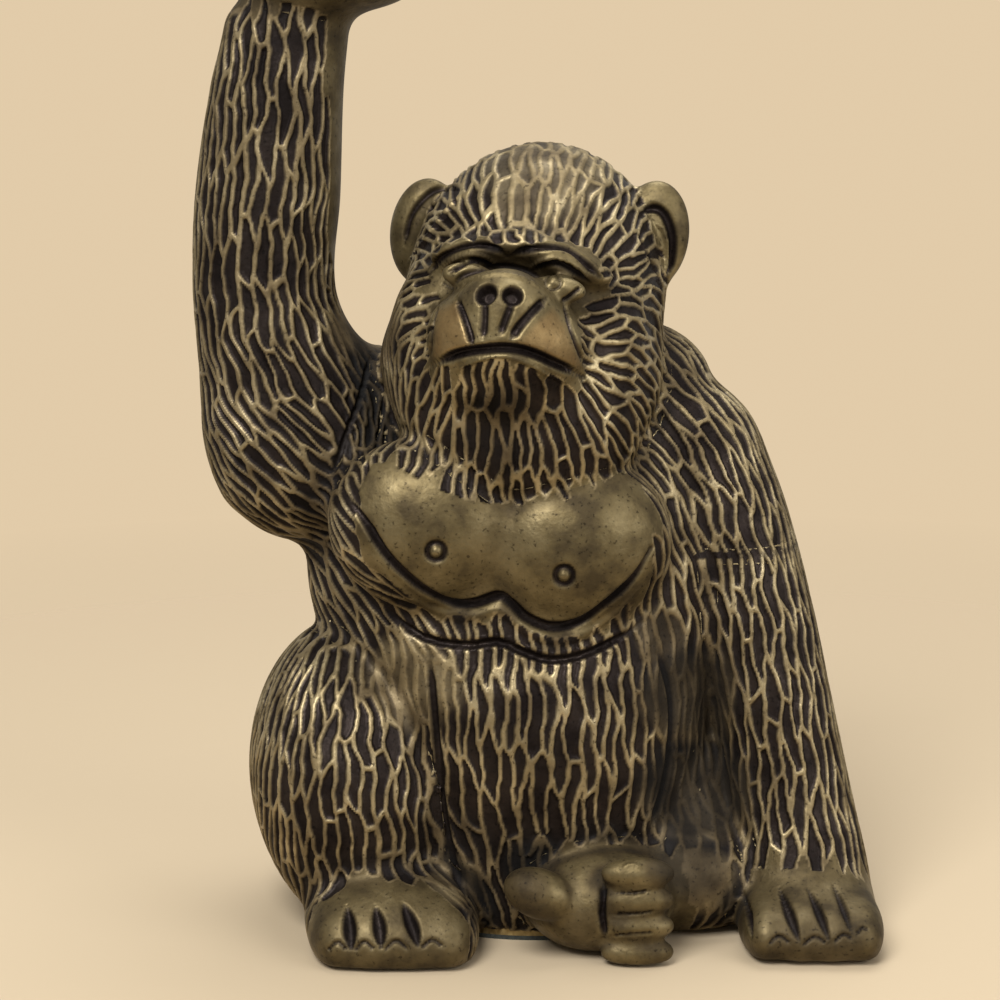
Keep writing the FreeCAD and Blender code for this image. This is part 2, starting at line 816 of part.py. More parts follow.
def plate_form(name, low, high, gap):
    """A flat slice of the foot's outline, inside the lip by a gap."""
    less = size("plate_lip") + gap
    half_width = size("torso_half_width") * TORSO_SHARES[0][3] - less
    half_depth = size("torso_half_depth") * TORSO_SHARES[0][4] - less
    curve = Part.BSplineCurve()
    centre = Vector(size("torso_middle_x"), size("torso_middle_y"), low)
    curve.interpolate(ring(centre, half_width, half_depth)[:-1], PeriodicFlag=True)
    item = document.addObject("Part::Feature", name)
    item.Shape = Part.Face(Part.Wire(curve.toShape())).extrude(Vector(0, 0, high - low))
    return item


def screw_places():
    half_width = size("torso_half_width") * TORSO_SHARES[0][3]
    half_depth = size("torso_half_depth") * TORSO_SHARES[0][4]
    places = []
    for across, along in SCREW_PLACE_SHARES:
        middle = Vector(size("torso_middle_x"), size("torso_middle_y"), size("felt_thickness"))
        places.append(middle + Vector(across * half_width, along * half_depth, 0))
    return places


def screw_form(name, place, gap):
    """A countersunk screw, or with a gap the hole that it goes through."""
    head = document.addObject("Part::Cone", f"{name}_head")
    bind(head, Radius1=f"sizes.screw_head_radius + {gap}", Radius2=f"sizes.screw_radius + {gap}")
    bind(head, Height="sizes.screw_head_height")
    head.Placement = Placement(place, Rotation())
    shank = rod(f"{name}_shank", place, Vector(0, 0, 1), f"sizes.screw_radius + {gap}", "sizes.screw_length")
    return joined(name, [head, shank])


def label(item, name):
    item.Label = name
    return item


def torso_casting(outside, joints):
    wall = size("casting_wall")
    floor = above_joint("over_joint_floor", wall)
    arm = common("upper_arm_hollow", lowered_arm_limb("upper_arm_hollow_limb", wall), floor)
    hollows = joined("torso_hollows", [barrel("barrel_hollow", wall, -size("cut_overrun")), arm])
    bosses = []
    holes = []
    for number, place in enumerate(screw_places(), start=1):
        radius = "sizes.screw_boss_radius"
        up = Vector(0, 0, 1)
        bosses.append(rod(f"screw_boss_{number}", place, up, radius, "sizes.screw_boss_height"))
        depth = "sizes.screw_length + sizes.fit_clearance"
        holes.append(rod(f"screw_hole_{number}", place, up, "sizes.screw_radius", depth))
    for name, places in joints.items():
        holes += pin_holes(f"torso_{name}", places, "pin_length")
    hollow = cut("torso_hollow", hollows, apart("screw_bosses", bosses))
    top = size("felt_thickness") + size("plate_thickness")
    seat = plate_form("plate_seat", -size("cut_overrun"), top, -size("fit_clearance"))
    return label(cut("torso", outside, hollow, seat, apart("torso_holes", holes)), "torso_casting")


def limb_cuts(name, hollows, places, reach):
    """The hollow of a limb, with a boss left in it round each pin, and the holes for the pins."""
    inside = joined(f"{name}_hollows", hollows)
    bosses = apart(f"{name}_bosses", pin_bosses(name, places, reach))
    hollow = cut(f"{name}_hollow", inside, bosses)
    holes = apart(f"{name}_holes", pin_holes(name, places, "pin_length"))
    return hollow, holes


def hollow_limb(name, outside, neighbours, hollows, places, reach):
    """A limb that sits on its neighbours and is hollow."""
    hollow, holes = limb_cuts(name, hollows, places, reach)
    return cut(name, outside, *neighbours, hollow, holes)


def wrist_places():
    """Two pin places across the top of the wrist."""
    half_width = size("raised_arm_half_width") * RAISED_ARM_SHARES[-1][3]
    apart_by = Vector(half_width * WRIST_PIN_SHARE, 0, 0)
    return [(wrist_top() + apart_by * side, Vector(0, 0, 1)) for side in (-1, 1)]


def base_pieces():
    """The plate that closes the torso's foot, its screws, and the pad under it."""
    low = size("felt_thickness")
    whole = plate_form("whole_plate", low, low + size("plate_thickness"), 0.0)
    places = list(enumerate(screw_places(), start=1))
    holes = [screw_form(f"plate_hole_{number}", place, "sizes.fit_clearance") for number, place in places]
    plate = label(cut("plate", whole, joined("plate_holes", holes)), "base_plate")
    screws = apart("screws", [screw_form(f"screw_{number}", place, "0") for number, place in places])
    pad = plate_form("pad", 0.0, low, 0.0)
    return [plate, label(screws, "base_screws"), label(pad, "felt_pad")]


def build():
    ground = below_ground()
    joints = {name: joint_places(name, side) for name, side in JOINT_SIDES.items()}
    joints["neck"] = joint_places("neck", -1) + joint_places("neck", 1)
    wrist = wrist_places()
    wall = size("casting_wall")

    torso = torso_forms()
    outside = joined("torso_outside", list(torso.values()))
    subparts = [torso_casting(outside, joints)]
    trunk = torso["barrel"]

    raised_outside = raised_arm_outside()
    hollows = [raised_arm_limb("raised_limb_hollow", wall)]
    hollows.append(body_egg("biceps_hollow", "biceps", inset="casting_wall"))
    reach = "sizes.raised_arm_half_width * 2"
    neighbours = [trunk, torso["nape"], torso["chest_left"]]
    raised = hollow_limb("raised_arm", raised_outside, neighbours, hollows, joints["raised_arm"], reach)
    holes = apart("wrist_holes", pin_holes("wrist", wrist, "wrist_pin_length"))
    subparts.append(label(cut("raised_arm_drilled", raised, holes), "raised_arm_casting"))

    hand = cut("hand", hand_outside(), raised_outside, holes)
    subparts.append(label(hand, "raised_hand_casting"))

    lowered_outside = cut("lowered_arm_flat", lowered_arm_outside(), ground)
    under = cut("forearm_hollow", lowered_arm_limb("forearm_hollow_limb", wall), above_joint("over_hollow"))
    reach = "sizes.lowered_arm_half_width * 2"
    lowered = hollow_limb("lowered_arm", lowered_outside, [trunk], [under], joints["lowered_arm"], reach)
    subparts.append(label(lowered, "lowered_arm_casting"))

    right_outside = cut("right_leg_flat", right_leg_outside(), ground)
    haunch = body_egg("haunch_hollow", "haunch", inset="casting_wall")
    reach = "sizes.haunch_half_width * 2"
    right = hollow_limb("right_leg", right_outside, [trunk], [haunch], joints["right_leg"], reach)
    subparts.append(label(right, "right_leg_casting"))

    left_outside = cut("left_leg_flat", left_leg_outside(), ground)
    thigh = body_egg("folded_thigh_hollow", "folded_thigh", inset="casting_wall")
    reach = "sizes.folded_thigh_half_width * 2"
    neighbours = [trunk, lowered_outside]
    left = hollow_limb("left_leg", left_outside, neighbours, [thigh], joints["left_leg"], reach)
    subparts.append(label(left, "left_leg_casting"))

    skull = head_egg("skull_hollow", "skull", inset="casting_wall")
    face = cut("head_with_face", head_outside(), mouth_groove(), apart("face_cuts", face_cuts()))
    reach = "sizes.pin_length"
    neighbours = [trunk, torso["shoulder"], torso["nape"], torso["chest_left"], torso["chest_right"]]
    neighbours += [torso["upper_arm"], raised_outside]
    hollow, holes = limb_cuts("head", [skull], joints["neck"], reach)
    head = carved("head", face, hollow, *neighbours, holes)
    subparts.append(label(head, "head_casting"))

    subparts += base_pieces()
    for name, places in joints.items():
        subparts.append(pins(f"{name}_pins", places, "pin_length"))
    subparts.append(pins("wrist_pins", wrist, "wrist_pin_length"))
    return subparts


def check_and_export(subparts):
    document.recompute()
    for item in document.Objects:
        if "Invalid" in item.State or "Error" in item.State:
            raise RuntimeError(f"{item.Label} failed: {item.State}")
    for item in subparts:
        if item.Shape.isNull() or not item.Shape.isValid() or not item.Shape.Solids:
            raise RuntimeError(f"{item.Label} has no valid shape")
    os.makedirs("parts", exist_ok=True)
    for item in subparts:
        print(item.Label, len(item.Shape.Solids), "solids", round(item.Shape.Volume), "cubic mm")
        item.Shape.exportStep(f"parts/{item.Label}.step")


fill_sheet()
check_and_export(build())
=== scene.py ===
import math

import bpy
import numpy as np
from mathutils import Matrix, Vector, kdtree


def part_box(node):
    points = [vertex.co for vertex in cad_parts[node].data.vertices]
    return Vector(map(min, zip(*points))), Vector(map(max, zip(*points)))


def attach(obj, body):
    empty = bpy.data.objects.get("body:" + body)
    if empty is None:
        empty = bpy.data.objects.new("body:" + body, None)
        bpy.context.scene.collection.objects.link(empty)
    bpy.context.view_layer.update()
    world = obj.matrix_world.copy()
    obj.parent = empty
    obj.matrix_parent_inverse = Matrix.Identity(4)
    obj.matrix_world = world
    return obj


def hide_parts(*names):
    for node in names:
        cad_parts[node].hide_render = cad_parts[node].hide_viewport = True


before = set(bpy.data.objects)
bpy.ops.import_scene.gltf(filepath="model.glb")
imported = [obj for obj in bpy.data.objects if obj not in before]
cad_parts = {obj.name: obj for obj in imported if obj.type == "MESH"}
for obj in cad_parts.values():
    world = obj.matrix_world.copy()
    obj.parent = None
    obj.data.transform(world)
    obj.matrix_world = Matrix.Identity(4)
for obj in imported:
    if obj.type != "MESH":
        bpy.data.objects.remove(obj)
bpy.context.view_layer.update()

# Shapes are worked out in millimetres, in the frame's own axes, and stored in metres.
MM = 0.001

# The photograph's view: a lens far off, a little above the figure, aimed at the picture's middle.
AIM = np.array((-16.8, 0.0, 92.3))
CAMERA_DISTANCE = 600.0
CAMERA_RISE_DEG = 10.0
FOCAL_PIXELS = 2640.0
FRAME_PIXELS = 1000.0
SENSOR_WIDTH = 36.0
CLIP_START = 0.01

rise = math.radians(CAMERA_RISE_DEG)
LOOK = np.array((0.0, math.cos(rise), -math.sin(rise)))
UP = np.array((0.0, math.sin(rise), math.cos(rise)))
RIGHT = np.array((1.0, 0.0, 0.0))
EYE = AIM - CAMERA_DISTANCE * LOOK

# A form has no say further than this from its surface.
FAR = 12.0
# The casting's foot stands this far over the floor, on the felt.
GROUND = 0.4
TINY = 1e-6
VERY_FAR = 1e9
# How softly a limb's ends, the foot's edge and the recess in the foot are rounded.
END_SOFTNESS = 6.0
FOOT_SOFTNESS = 1.5
SEAT_SOFTNESS = 0.6


def unit(vectors):
    return vectors / np.maximum(np.linalg.norm(vectors, axis=-1), TINY)[..., None]


def smooth_least(first, second, radius):
    """The lesser of two distances, with the crease between them rounded."""
    overlap = np.maximum(radius - np.abs(first - second), 0.0) / radius
    return np.minimum(first, second) - overlap * overlap * radius * 0.25


def smooth_most(first, second, radius):
    """The greater of two distances, rounded likewise."""
    return -smooth_least(-first, -second, radius)


def smooth_step(low, high, values):
    """Nought at low and one at high, with an even slope between."""
    part = np.clip((values - low) / (high - low), 0.0, 1.0)
    return part * part * (3.0 - 2.0 * part)


def turned(axis, degrees):
    """The matrix whose columns are the axes of a frame that is turned about x, y or z."""
    angle = math.radians(degrees)
    cosine, sine = math.cos(angle), math.sin(angle)
    if axis == "x":
        return np.array(((1, 0, 0), (0, cosine, -sine), (0, sine, cosine)))
    if axis == "y":
        return np.array(((cosine, 0, sine), (0, 1, 0), (-sine, 0, cosine)))
    return np.array(((cosine, -sine, 0), (sine, cosine, 0), (0, 0, 1)))


TABLE_STEPS = 161


def egg(centre, halves, turn=None):
    """Distances to an ellipsoid."""
    centre = np.array(centre, float)
    halves = np.array(halves, float)

    def distance(points):
        result = np.full(len(points), FAR)
        local = points - centre
        close = np.abs(local).max(axis=1) < halves.max() + FAR
        local = local[close]
        if turn is not None:
            local = local @ turn
        scaled = np.maximum(np.linalg.norm(local / halves, axis=1), 1e-4)
        slope = np.maximum(np.linalg.norm(local / halves**2, axis=1), scaled / halves.max())
        result[close] = np.minimum(scaled * (scaled - 1.0) / slope, FAR)
        return result

    return distance


def smooth_table(shares):
    """A table of shares, sampled on a smooth curve through its rows."""
    rows = np.array(shares, float)
    steps = np.linspace(0.0, 1.0, TABLE_STEPS)
    slopes = np.zeros_like(rows)
    slopes[1:-1] = (rows[2:] - rows[:-2]) / (rows[2:, :1] - rows[:-2, :1])
    slopes[0] = (rows[1] - rows[0]) / (rows[1, 0] - rows[0, 0])
    slopes[-1] = (rows[-1] - rows[-2]) / (rows[-1, 0] - rows[-2, 0])
    index = np.clip(np.searchsorted(rows[:, 0], steps, side="right") - 1, 0, len(rows) - 2)
    low, high = rows[index], rows[index + 1]
    span = high[:, :1] - low[:, :1]
    part = (steps[:, None] - low[:, :1]) / span
    blend = part * part * (3 - 2 * part)
    values = low + blend * (high - low) + span * slopes[index] * part * (1 - part) ** 2
    values -= span * slopes[index + 1] * part * part * (1 - part)
    return steps, values


def limb(foot, length, lean, reach, half_width, half_depth, shares):
    """Distances to an upright limb of oval sections, as the CAD source makes them."""
    steps, table = smooth_table(shares)
    foot = np.array(foot, float)

    def distance(points):
        result = np.full(len(points), FAR)
        widest = max(half_width, half_depth) + abs(lean) + abs(reach) + FAR
        close = (points[:, 2] > foot[2] - FAR) & (points[:, 2] < foot[2] + length + FAR)
        close &= np.abs(points[:, 0] - foot[0]) < widest
        local = points[close] - foot
        share = np.clip(local[:, 2] / length, 0.0, 1.0)
        across = local[:, 0] - lean * np.interp(share, steps, table[:, 1])
        along = local[:, 1] - reach * np.interp(share, steps, table[:, 2])
        width = half_width * np.interp(share, steps, table[:, 3])
        depth = half_depth * np.interp(share, steps, table[:, 4])
        scaled = np.maximum(np.hypot(across / width, along / depth), 1e-4)
        slope = np.maximum(np.hypot(across / width**2, along / depth**2), scaled / np.maximum(width, depth))
        side = scaled * (scaled - 1.0) / slope
        cap = np.abs(local[:, 2] - length / 2) - length / 2
        result[close] = np.minimum(smooth_most(side, cap, END_SOFTNESS), FAR)
        return result

    return distance


def group(forms, radius):
    """Distances to several forms that run into each other. A form may carry its own radius."""

    def distance(points):
        whole = None
        for item in forms:
            form, soft = item if isinstance(item, tuple) else (item, radius)
            values = form(points)
            whole = values if whole is None else smooth_least(whole, values, soft)
        return whole

    return distance


# Sections of the limbs, from the foot up: the height, the lean and the reach as shares of the whole,
# then the shares of the half width and the half depth.
TORSO_SHARES = (
    (0, 0, 0, 0.75, 0.84),
    (0.14, 0, 0, 0.82, 0.93),
    (0.3, 0, -0.02, 0.85, 0.99),
    (0.41, -0.02, -0.02, 0.89, 0.97),
    (0.49, -0.04, 0, 0.98, 0.91),
    (0.6, -0.05, 0.02, 1, 0.87),
    (0.72, -0.03, 0.05, 0.92, 0.82),
    (0.81, 0, 0.07, 0.78, 0.68),
    (0.88, 0.02, 0.12, 0.52, 0.52),
    (0.94, 0.02, 0.12, 0.38, 0.42),
    (1, 0.02, 0.12, 0.33, 0.36),
)
LOWERED_ARM_SHARES = (
    (0, 0, 0, 0.9, 0.95),
    (0.11, 0.03, 0.14, 0.86, 0.84),
    (0.25, 0.11, 0.32, 0.82, 0.79),
    (0.41, 0.21, 0.46, 0.8, 0.82),
    (0.59, 0.36, 0.64, 0.86, 0.87),
    (0.74, 0.51, 0.82, 0.91, 0.95),
    (0.82, 0.63, 0.89, 0.97, 1),
    (0.92, 0.79, 0.96, 1, 0.95),
    (1, 1, 1, 0.86, 0.79),
)
RAISED_ARM_SHARES = (
    (0, 0, 0, 0.8, 0.86),
    (0.11, 0.2, 0, 1, 1),
    (0.28, 0.53, 0, 0.95, 0.97),
    (0.42, 0.95, 0, 0.83, 0.89),
    (0.61, 0.8, 0, 0.84, 0.86),
    (0.82, 0.5, 0, 0.77, 0.81),
    (0.94, 0.2, 0, 0.72, 0.75),
    (1, 0.07, 0, 0.72, 0.75),
)

# The head leans over and looks a little aside. SKULL holds the half sizes of its main egg.
HEAD_MIDDLE = np.array((-8.5, -6.0, 141.0))
HEAD_TURN = turned("z", -10.0) @ turned("y", 7.0)
SKULL = np.array((28.5, 31.0, 32.4))


def head_egg(shares, halves, side=1, turn=None):
    """An egg of the head, placed by shares of the skull, in the head's own frame."""
    local = np.array(shares) * SKULL * (side, 1, 1)
    own_turn = HEAD_TURN if turn is None else HEAD_TURN @ turn
    return egg(HEAD_MIDDLE + HEAD_TURN @ local, halves, own_turn)


# Each ear's place by shares of the skull: the head leans, yet the ears are nearly level.
EAR_PLACES = {-1: (0.95, 0.08, 0.27), 1: (0.83, 0.08, 0.46)}


def ear_form(side):
    return head_egg(EAR_PLACES[side], (8.0, 4.5, 12.0), side)


def head_forms():
    """The skull, jaw and beard, then cheeks, brows and eyes, the muzzle, nose and chin, and the ears."""
    forms = [
        head_egg((0, 0, 0), SKULL),
        (head_egg((0, -0.32, -0.52), (31, 28, 22)), 8),
        (head_egg((0.1, -0.62, -0.88), (25, 19, 19)), 8),
    ]
    for side in (-1, 1):
        slope = turned("z", side * 16) @ turned("y", side * 17)
        forms.append((head_egg((0.5, -0.6, -0.22), (13, 12, 14), side), 4))
        forms.append((head_egg((0.33, -0.93, 0.31), (11, 4.8, 3.4), side, slope), 4))
        forms.append((head_egg((0.34, -1.11, 0.14), (5.6, 2.5, 2.7), side), 2.5))
    forms.append((head_egg((0, -1.13, -0.24), (17, 14.5, 12)), 3))
    forms.append((head_egg((0, -1.31, -0.01), (9.5, 8.2, 8.2)), 3))
    forms.append((head_egg((0, -1, -0.5), (15, 14, 9)), 4))
    return forms + [(ear_form(side), 2) for side in (-1, 1)]


def finger_row(middle, halves, pitch, radius, across=(1, 0, 0)):
    """Four eggs side by side, for fingers or toes."""
    middle = np.array(middle, float)
    steps = (np.arange(4) - 1.5) * pitch
    return [(egg(middle + step * np.array(across, float), halves), radius) for step in steps]


def raised_hand_forms():
    """An open hand with a cupped palm, four fingers that curl up and a thumb."""
    middle = np.array((-54, -8.2, 208.8))
    curl, tip_curl = turned("y", -35), turned("y", -80)
    along_finger, along_tip = curl[:, 0] * 10, tip_curl[:, 0] * 7.5
    palm = egg(middle, (20, 16.5, 8))
    hollow = egg(middle + (0, 0, 8), (14, 11.6, 6))
    forms = [lambda points: smooth_most(palm(points), -hollow(points), 1.5)]
    for number in range(4):
        root = middle + (13, (number - 1.5) * 8.3, 0)
        forms.append((egg(root + along_finger * 0.8, (10, 3.8, 3.8), curl), 1.6))
        forms.append((egg(root + along_finger * 1.6 + along_tip * 0.7, (7.5, 3.8, 3.8), tip_curl), 1.2))
    forms.append((egg(middle + (-10, -14.85, 4.56), (4.6, 10, 4.6), turned("x", -25)), 2))
    return forms


# The forms of each group, and how softly they run into each other.
groups = {
    "torso": group([
        limb((-9, -2, 0.4), 136, 49, 41, 49, 41, TORSO_SHARES),
        (egg((-32, -29.1, 92.5), (22, 15, 19)), 3),
        (egg((-1.7, -29.1, 88.4), (22, 15, 19)), 3),
        egg((12.1, 2.1, 118.3), (19, 18, 15)),
        egg((-36, 2.1, 114.2), (17, 17, 14)),
    ], 8),
    "lowered_arm": group([
        limb((51.5, -27, 0.8), 121.6, -37.5, 28, 17.5, 19, LOWERED_ARM_SHARES),
        *finger_row((50.8, -43, 5.5), (4.1, 10, 6), 7.4, 8),
    ], 4),
    "raised_arm": group([
        limb((-61.9, -6.9, 96.6), 107, -7.5, 0, 19, 18, RAISED_ARM_SHARES),
        egg((-62.9, -6.9, 103.4), (17, 17.5, 18)),
        egg((-55.6, -4.1, 107.4), (17, 19, 21)),
    ], 8),
    "right_leg": group([
        egg((-51.1, -10.2, 34), (22.5, 33, 33)),
        egg((-47.2, -25, 27.2), (19, 18, 28)),
        (egg((-40.9, -34.8, 6.8), (18.5, 18, 12)), 4),
        *finger_row((-39.4, -47, 4.8), (5, 9, 6.2), 8.2, 8),
    ], 7),
    "left_leg": group([
        egg((20.4, 2.9, 24.5), (27, 30, 27)),
        egg((22.4, -19.2, 12.2), (25, 19, 15)),
        (egg((4.7, -38.1, 10.9), (16.5, 14, 11.5)), 3),
        (egg((-8.3, -48.6, 15.2), (8, 5.4, 5.4), turned("y", 21)), 1.5),
        *finger_row((12.6, -50.4, 11.6), (7.8, 3.6, 3.5), 5.8, 2, (0, 0, 1)),
    ], 6),
    "head": group(head_forms(), 6),
    "raised_hand": group(raised_hand_forms(), 3),
}
# How softly each group runs into those before it.
GROUP_SOFTNESS = {
    "lowered_arm": 3, "raised_arm": 7, "right_leg": 2.5, "left_leg": 2.5, "head": 2.5, "raised_hand": 5,
}
names = list(groups)


def all_distances(points):
    return np.array([groups[name](points) for name in names])


# The recess in the foot for the base plate and the felt pad.
SEAT_MIDDLE = (-9.0, -2.0)
SEAT_HALVES = (35.4, 33.1)
SEAT_TOP = 3.1


def seat(points):
    """Distances to the recess, which is open at the ground."""
    across = (points[:, 0] - SEAT_MIDDLE[0]) / SEAT_HALVES[0]
    along = (points[:, 1] - SEAT_MIDDLE[1]) / SEAT_HALVES[1]
    side = (np.hypot(across, along) - 1.0) * SEAT_HALVES[1]
    return np.maximum(side, points[:, 2] - SEAT_TOP)


def whole(distances, points):
    """The figure's own distance, from those of its groups, standing flat on the ground."""
    result = distances[0]
    for name, values in zip(names[1:], distances[1:]):
        result = smooth_least(result, values, GROUP_SOFTNESS[name])
    result = smooth_most(result, GROUND - points[:, 2], FOOT_SOFTNESS)
    return smooth_most(result, -seat(points), SEAT_SOFTNESS)


def figure(points):
    """Distances to the whole figure, less than nought inside it."""
    return whole(all_distances(points), points)


PROBE = 0.15


def slopes_of(field, points):
    """The gradient of a field, from four points round each point."""
    corners = np.array(((1, 1, 1), (1, -1, -1), (-1, 1, -1), (-1, -1, 1)), float)
    return sum(corner * field(points + corner * PROBE)[:, None] for corner in corners) / (4.0 * PROBE)


LEAST_SQUARE_SLOPE = 0.05
LONGEST_MOVE = 1.5


def settle(field, points, rounds=2):
    """Moves points onto the field's surface."""
    for _ in range(rounds):
        slope = slopes_of(field, points)
        square = np.maximum((slope**2).sum(axis=1), LEAST_SQUARE_SLOPE)
        move = np.clip(-field(points) / square, -LONGEST_MOVE, LONGEST_MOVE)
        points = points + slope * move[:, None]
    return points


# A ray starts this far before the aim and goes on by a part of its gap to the figure.
RAY_LEAD = 90.0
RAY_STEPS = 90
RAY_SHARE = 0.7
SHORTEST_STEP = 0.02
HIT_GAP = 0.01


def seen_at(pixels):
    """The points of the figure that the camera sees at places of the photograph's frame."""
    pixels = np.array(pixels, float).reshape(-1, 2)
    across = (pixels[:, 0] - FRAME_PIXELS / 2) / FOCAL_PIXELS
    down = (pixels[:, 1] - FRAME_PIXELS / 2) / FOCAL_PIXELS
    rays = LOOK + across[:, None] * RIGHT - down[:, None] * UP
    rays = unit(rays)
    travel = np.full(len(pixels), CAMERA_DISTANCE - RAY_LEAD)
    best = travel.copy()
    nearest = np.full(len(pixels), VERY_FAR)
    for _ in range(RAY_STEPS):
        gap = figure(EYE + rays * travel[:, None])
        better = gap < nearest
        best[better] = travel[better]
        nearest[better] = gap[better]
        travel = travel + np.where(gap > HIT_GAP, np.maximum(gap * RAY_SHARE, SHORTEST_STEP), 0.0)
    return EYE + rays * best[:, None]


def seen_from(points):
    """Where the camera sees points, in pixels of the photograph's frame."""
    local = points - EYE
    depth = local @ LOOK
    across = FRAME_PIXELS / 2 + FOCAL_PIXELS * (local @ RIGHT) / depth
    down = FRAME_PIXELS / 2 - FOCAL_PIXELS * (local @ UP) / depth
    return np.stack((across, down), axis=1)


def surface_net(values, origin, step):
    """Quads round the zero level of a grid of values, one point to each cell that it crosses."""
    inside = values < 0
    shape = np.array(values.shape) - 1
    corners = [(i, j, k) for i in (0, 1) for j in (0, 1) for k in (0, 1)]
    count = np.zeros(shape, np.int8)
    for i, j, k in corners:
        count += inside[i : i + shape[0], j : j + shape[1], k : k + shape[2]]
    active = (count > 0) & (count < len(corners))
    cells = np.argwhere(active)
    number = np.full(active.shape, -1, np.int64)
    number[active] = np.arange(len(cells))
    total = np.zeros((len(cells), 3))
    hits = np.zeros(len(cells))
    quads = []
    for axis in range(3):
        ahead = np.eye(3, dtype=int)[axis]
        for first in corners:
            if first[axis]:
                continue
            start = values[tuple((cells + first).T)]
            end = values[tuple((cells + first + ahead).T)]
            crosses = (start < 0) != (end < 0)
            part = start[crosses] / (start[crosses] - end[crosses])
            total[crosses] += first + part[:, None] * ahead
            hits[crosses] += 1
        start = np.delete(inside, -1, axis)
        edges = np.argwhere(start != np.delete(inside, 0, axis))
        others = [other for other in range(3) if other != axis]
        edges = edges[np.all((edges[:, others] > 0) & (edges[:, others] < shape[others]), axis=1)]
        around = []
        for back in ((1, 1), (0, 1), (0, 0), (1, 0)):
            cell = edges.copy()
            cell[:, others] -= back
            around.append(number[tuple(cell.T)])
        quad = np.stack(around, axis=1)
        outward = start[tuple(edges.T)] != (axis == 1)
        quad[~outward] = quad[~outward][:, ::-1]
        quads.append(quad)
    return origin + step * (cells + total / hits[:, None]), np.concatenate(quads)


# Each piece: the casting that it stands for, its group and the spacing of its first net.
PIECES = {
    "torso_fur": ("torso_casting", "torso", 1.0),
    "torso_back_fur": ("torso_casting", "torso", 1.35),
    "head_fur": ("head_casting", "head", 0.85),
    "raised_arm_fur": ("raised_arm_casting", "raised_arm", 0.9),
    "lowered_arm_fur": ("lowered_arm_casting", "lowered_arm", 0.9),
    "right_leg_fur": ("right_leg_casting", "right_leg", 0.9),
    "left_leg_fur": ("left_leg_casting", "left_leg", 0.95),
    "raised_hand_skin": ("raised_hand_casting", "raised_hand", 0.9),
}
# Neighbouring pieces overlap by this much, and each sinks under the other there.
SEAM_OVERLAP = 1.3
SEAM_SINK = 0.3
SEAM_FADE = (-0.1, 0.9)
ARM_JOINT_HEIGHT = 84.0
# The torso's front and back pieces meet on this plane.
TORSO_SPLIT_Y = 6.0


def beyond_own(piece_name, distances, points):
    """How far points lie beyond the region that a piece covers; less than nought inside it."""
    name = PIECES[piece_name][1]
    index = names.index(name)
    if name not in ("torso", "lowered_arm"):
        others = np.min(np.delete(distances, index, axis=0), axis=0)
        return (distances[index] - others) / 2
    upper = points[:, 2] - ARM_JOINT_HEIGHT
    if name == "lowered_arm":
        others = np.min(np.delete(distances, index, axis=0), axis=0)
        return np.maximum((distances[index] - others) / 2, upper)
    arm, trunk = distances[names.index("lowered_arm")], distances[index]
    joined = np.minimum(trunk, np.maximum(arm, -upper))
    others = np.delete(distances, (index, names.index("lowered_arm")), axis=0).min(axis=0)
    beyond = (joined - np.minimum(others, np.maximum(arm, upper))) / 2
    split = points[:, 1] - TORSO_SPLIT_Y
    return np.maximum(beyond, split if piece_name == "torso_fur" else -split)


def piece_field(piece_name):
    """The figure's distance, closed off a little beyond a piece's own region."""

    def field(points):
        distances = all_distances(points)
        beyond = beyond_own(piece_name, distances, points) - SEAM_OVERLAP
        return np.maximum(whole(distances, points), beyond)

    return field


# The grid's margin round a casting, the coarse spacing in fine ones, and how many coarse spacings from
# the surface the fine values are worked out.
GRID_MARGIN = 5.0
COARSE_STEP = 3
NEAR_SURFACE = 1.4


def net_of(piece_name):
    """A first, even net of quads over a piece."""
    node, _, spacing = PIECES[piece_name]
    low, high = (np.array(corner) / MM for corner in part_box(node))
    low, high = low - GRID_MARGIN, high + GRID_MARGIN
    counts = np.ceil((high - low) / spacing).astype(int) + 1
    axes = [low[axis] + spacing * np.arange(counts[axis]) for axis in range(3)]
    field = piece_field(piece_name)
    coarse_axes = [axis[::COARSE_STEP] for axis in axes]
    coarse = field(np.stack(np.meshgrid(*coarse_axes, indexing="ij"), axis=-1).reshape(-1, 3))
    coarse = coarse.reshape([len(axis) for axis in coarse_axes])
    picks = [
        np.minimum((np.arange(count) + COARSE_STEP // 2) // COARSE_STEP, len(axis) - 1)
        for count, axis in zip(counts, coarse_axes)
    ]
    values = coarse[np.ix_(*picks)]
    close = np.abs(values) < COARSE_STEP * spacing * NEAR_SURFACE
    points = low + spacing * np.argwhere(close)
    values[close] = field(points)
    return surface_net(values, low, spacing)


def in_scene(name, data):
    item = bpy.data.objects.new(name, data)
    bpy.context.scene.collection.objects.link(item)
    return item


def mesh_object(name, points, quads):
    mesh = bpy.data.meshes.new(name)
    mesh.from_pydata((points * MM).tolist(), [], quads.tolist())
    return in_scene(name, mesh)


def mesh_points(mesh):
    flat = np.empty(len(mesh.vertices) * 3)
    mesh.vertices.foreach_get("co", flat)
    return flat.reshape(-1, 3) / MM


def divided(item):
    """The same object with every quad divided in four."""
    modifier = item.modifiers.new("divide", "SUBSURF")
    modifier.levels = 1
    graph = bpy.context.evaluated_depsgraph_get()
    mesh = bpy.data.meshes.new_from_object(item.evaluated_get(graph))
    item.modifiers.clear()
    item.data = mesh
    return item


LINE_SPACING = 3.0


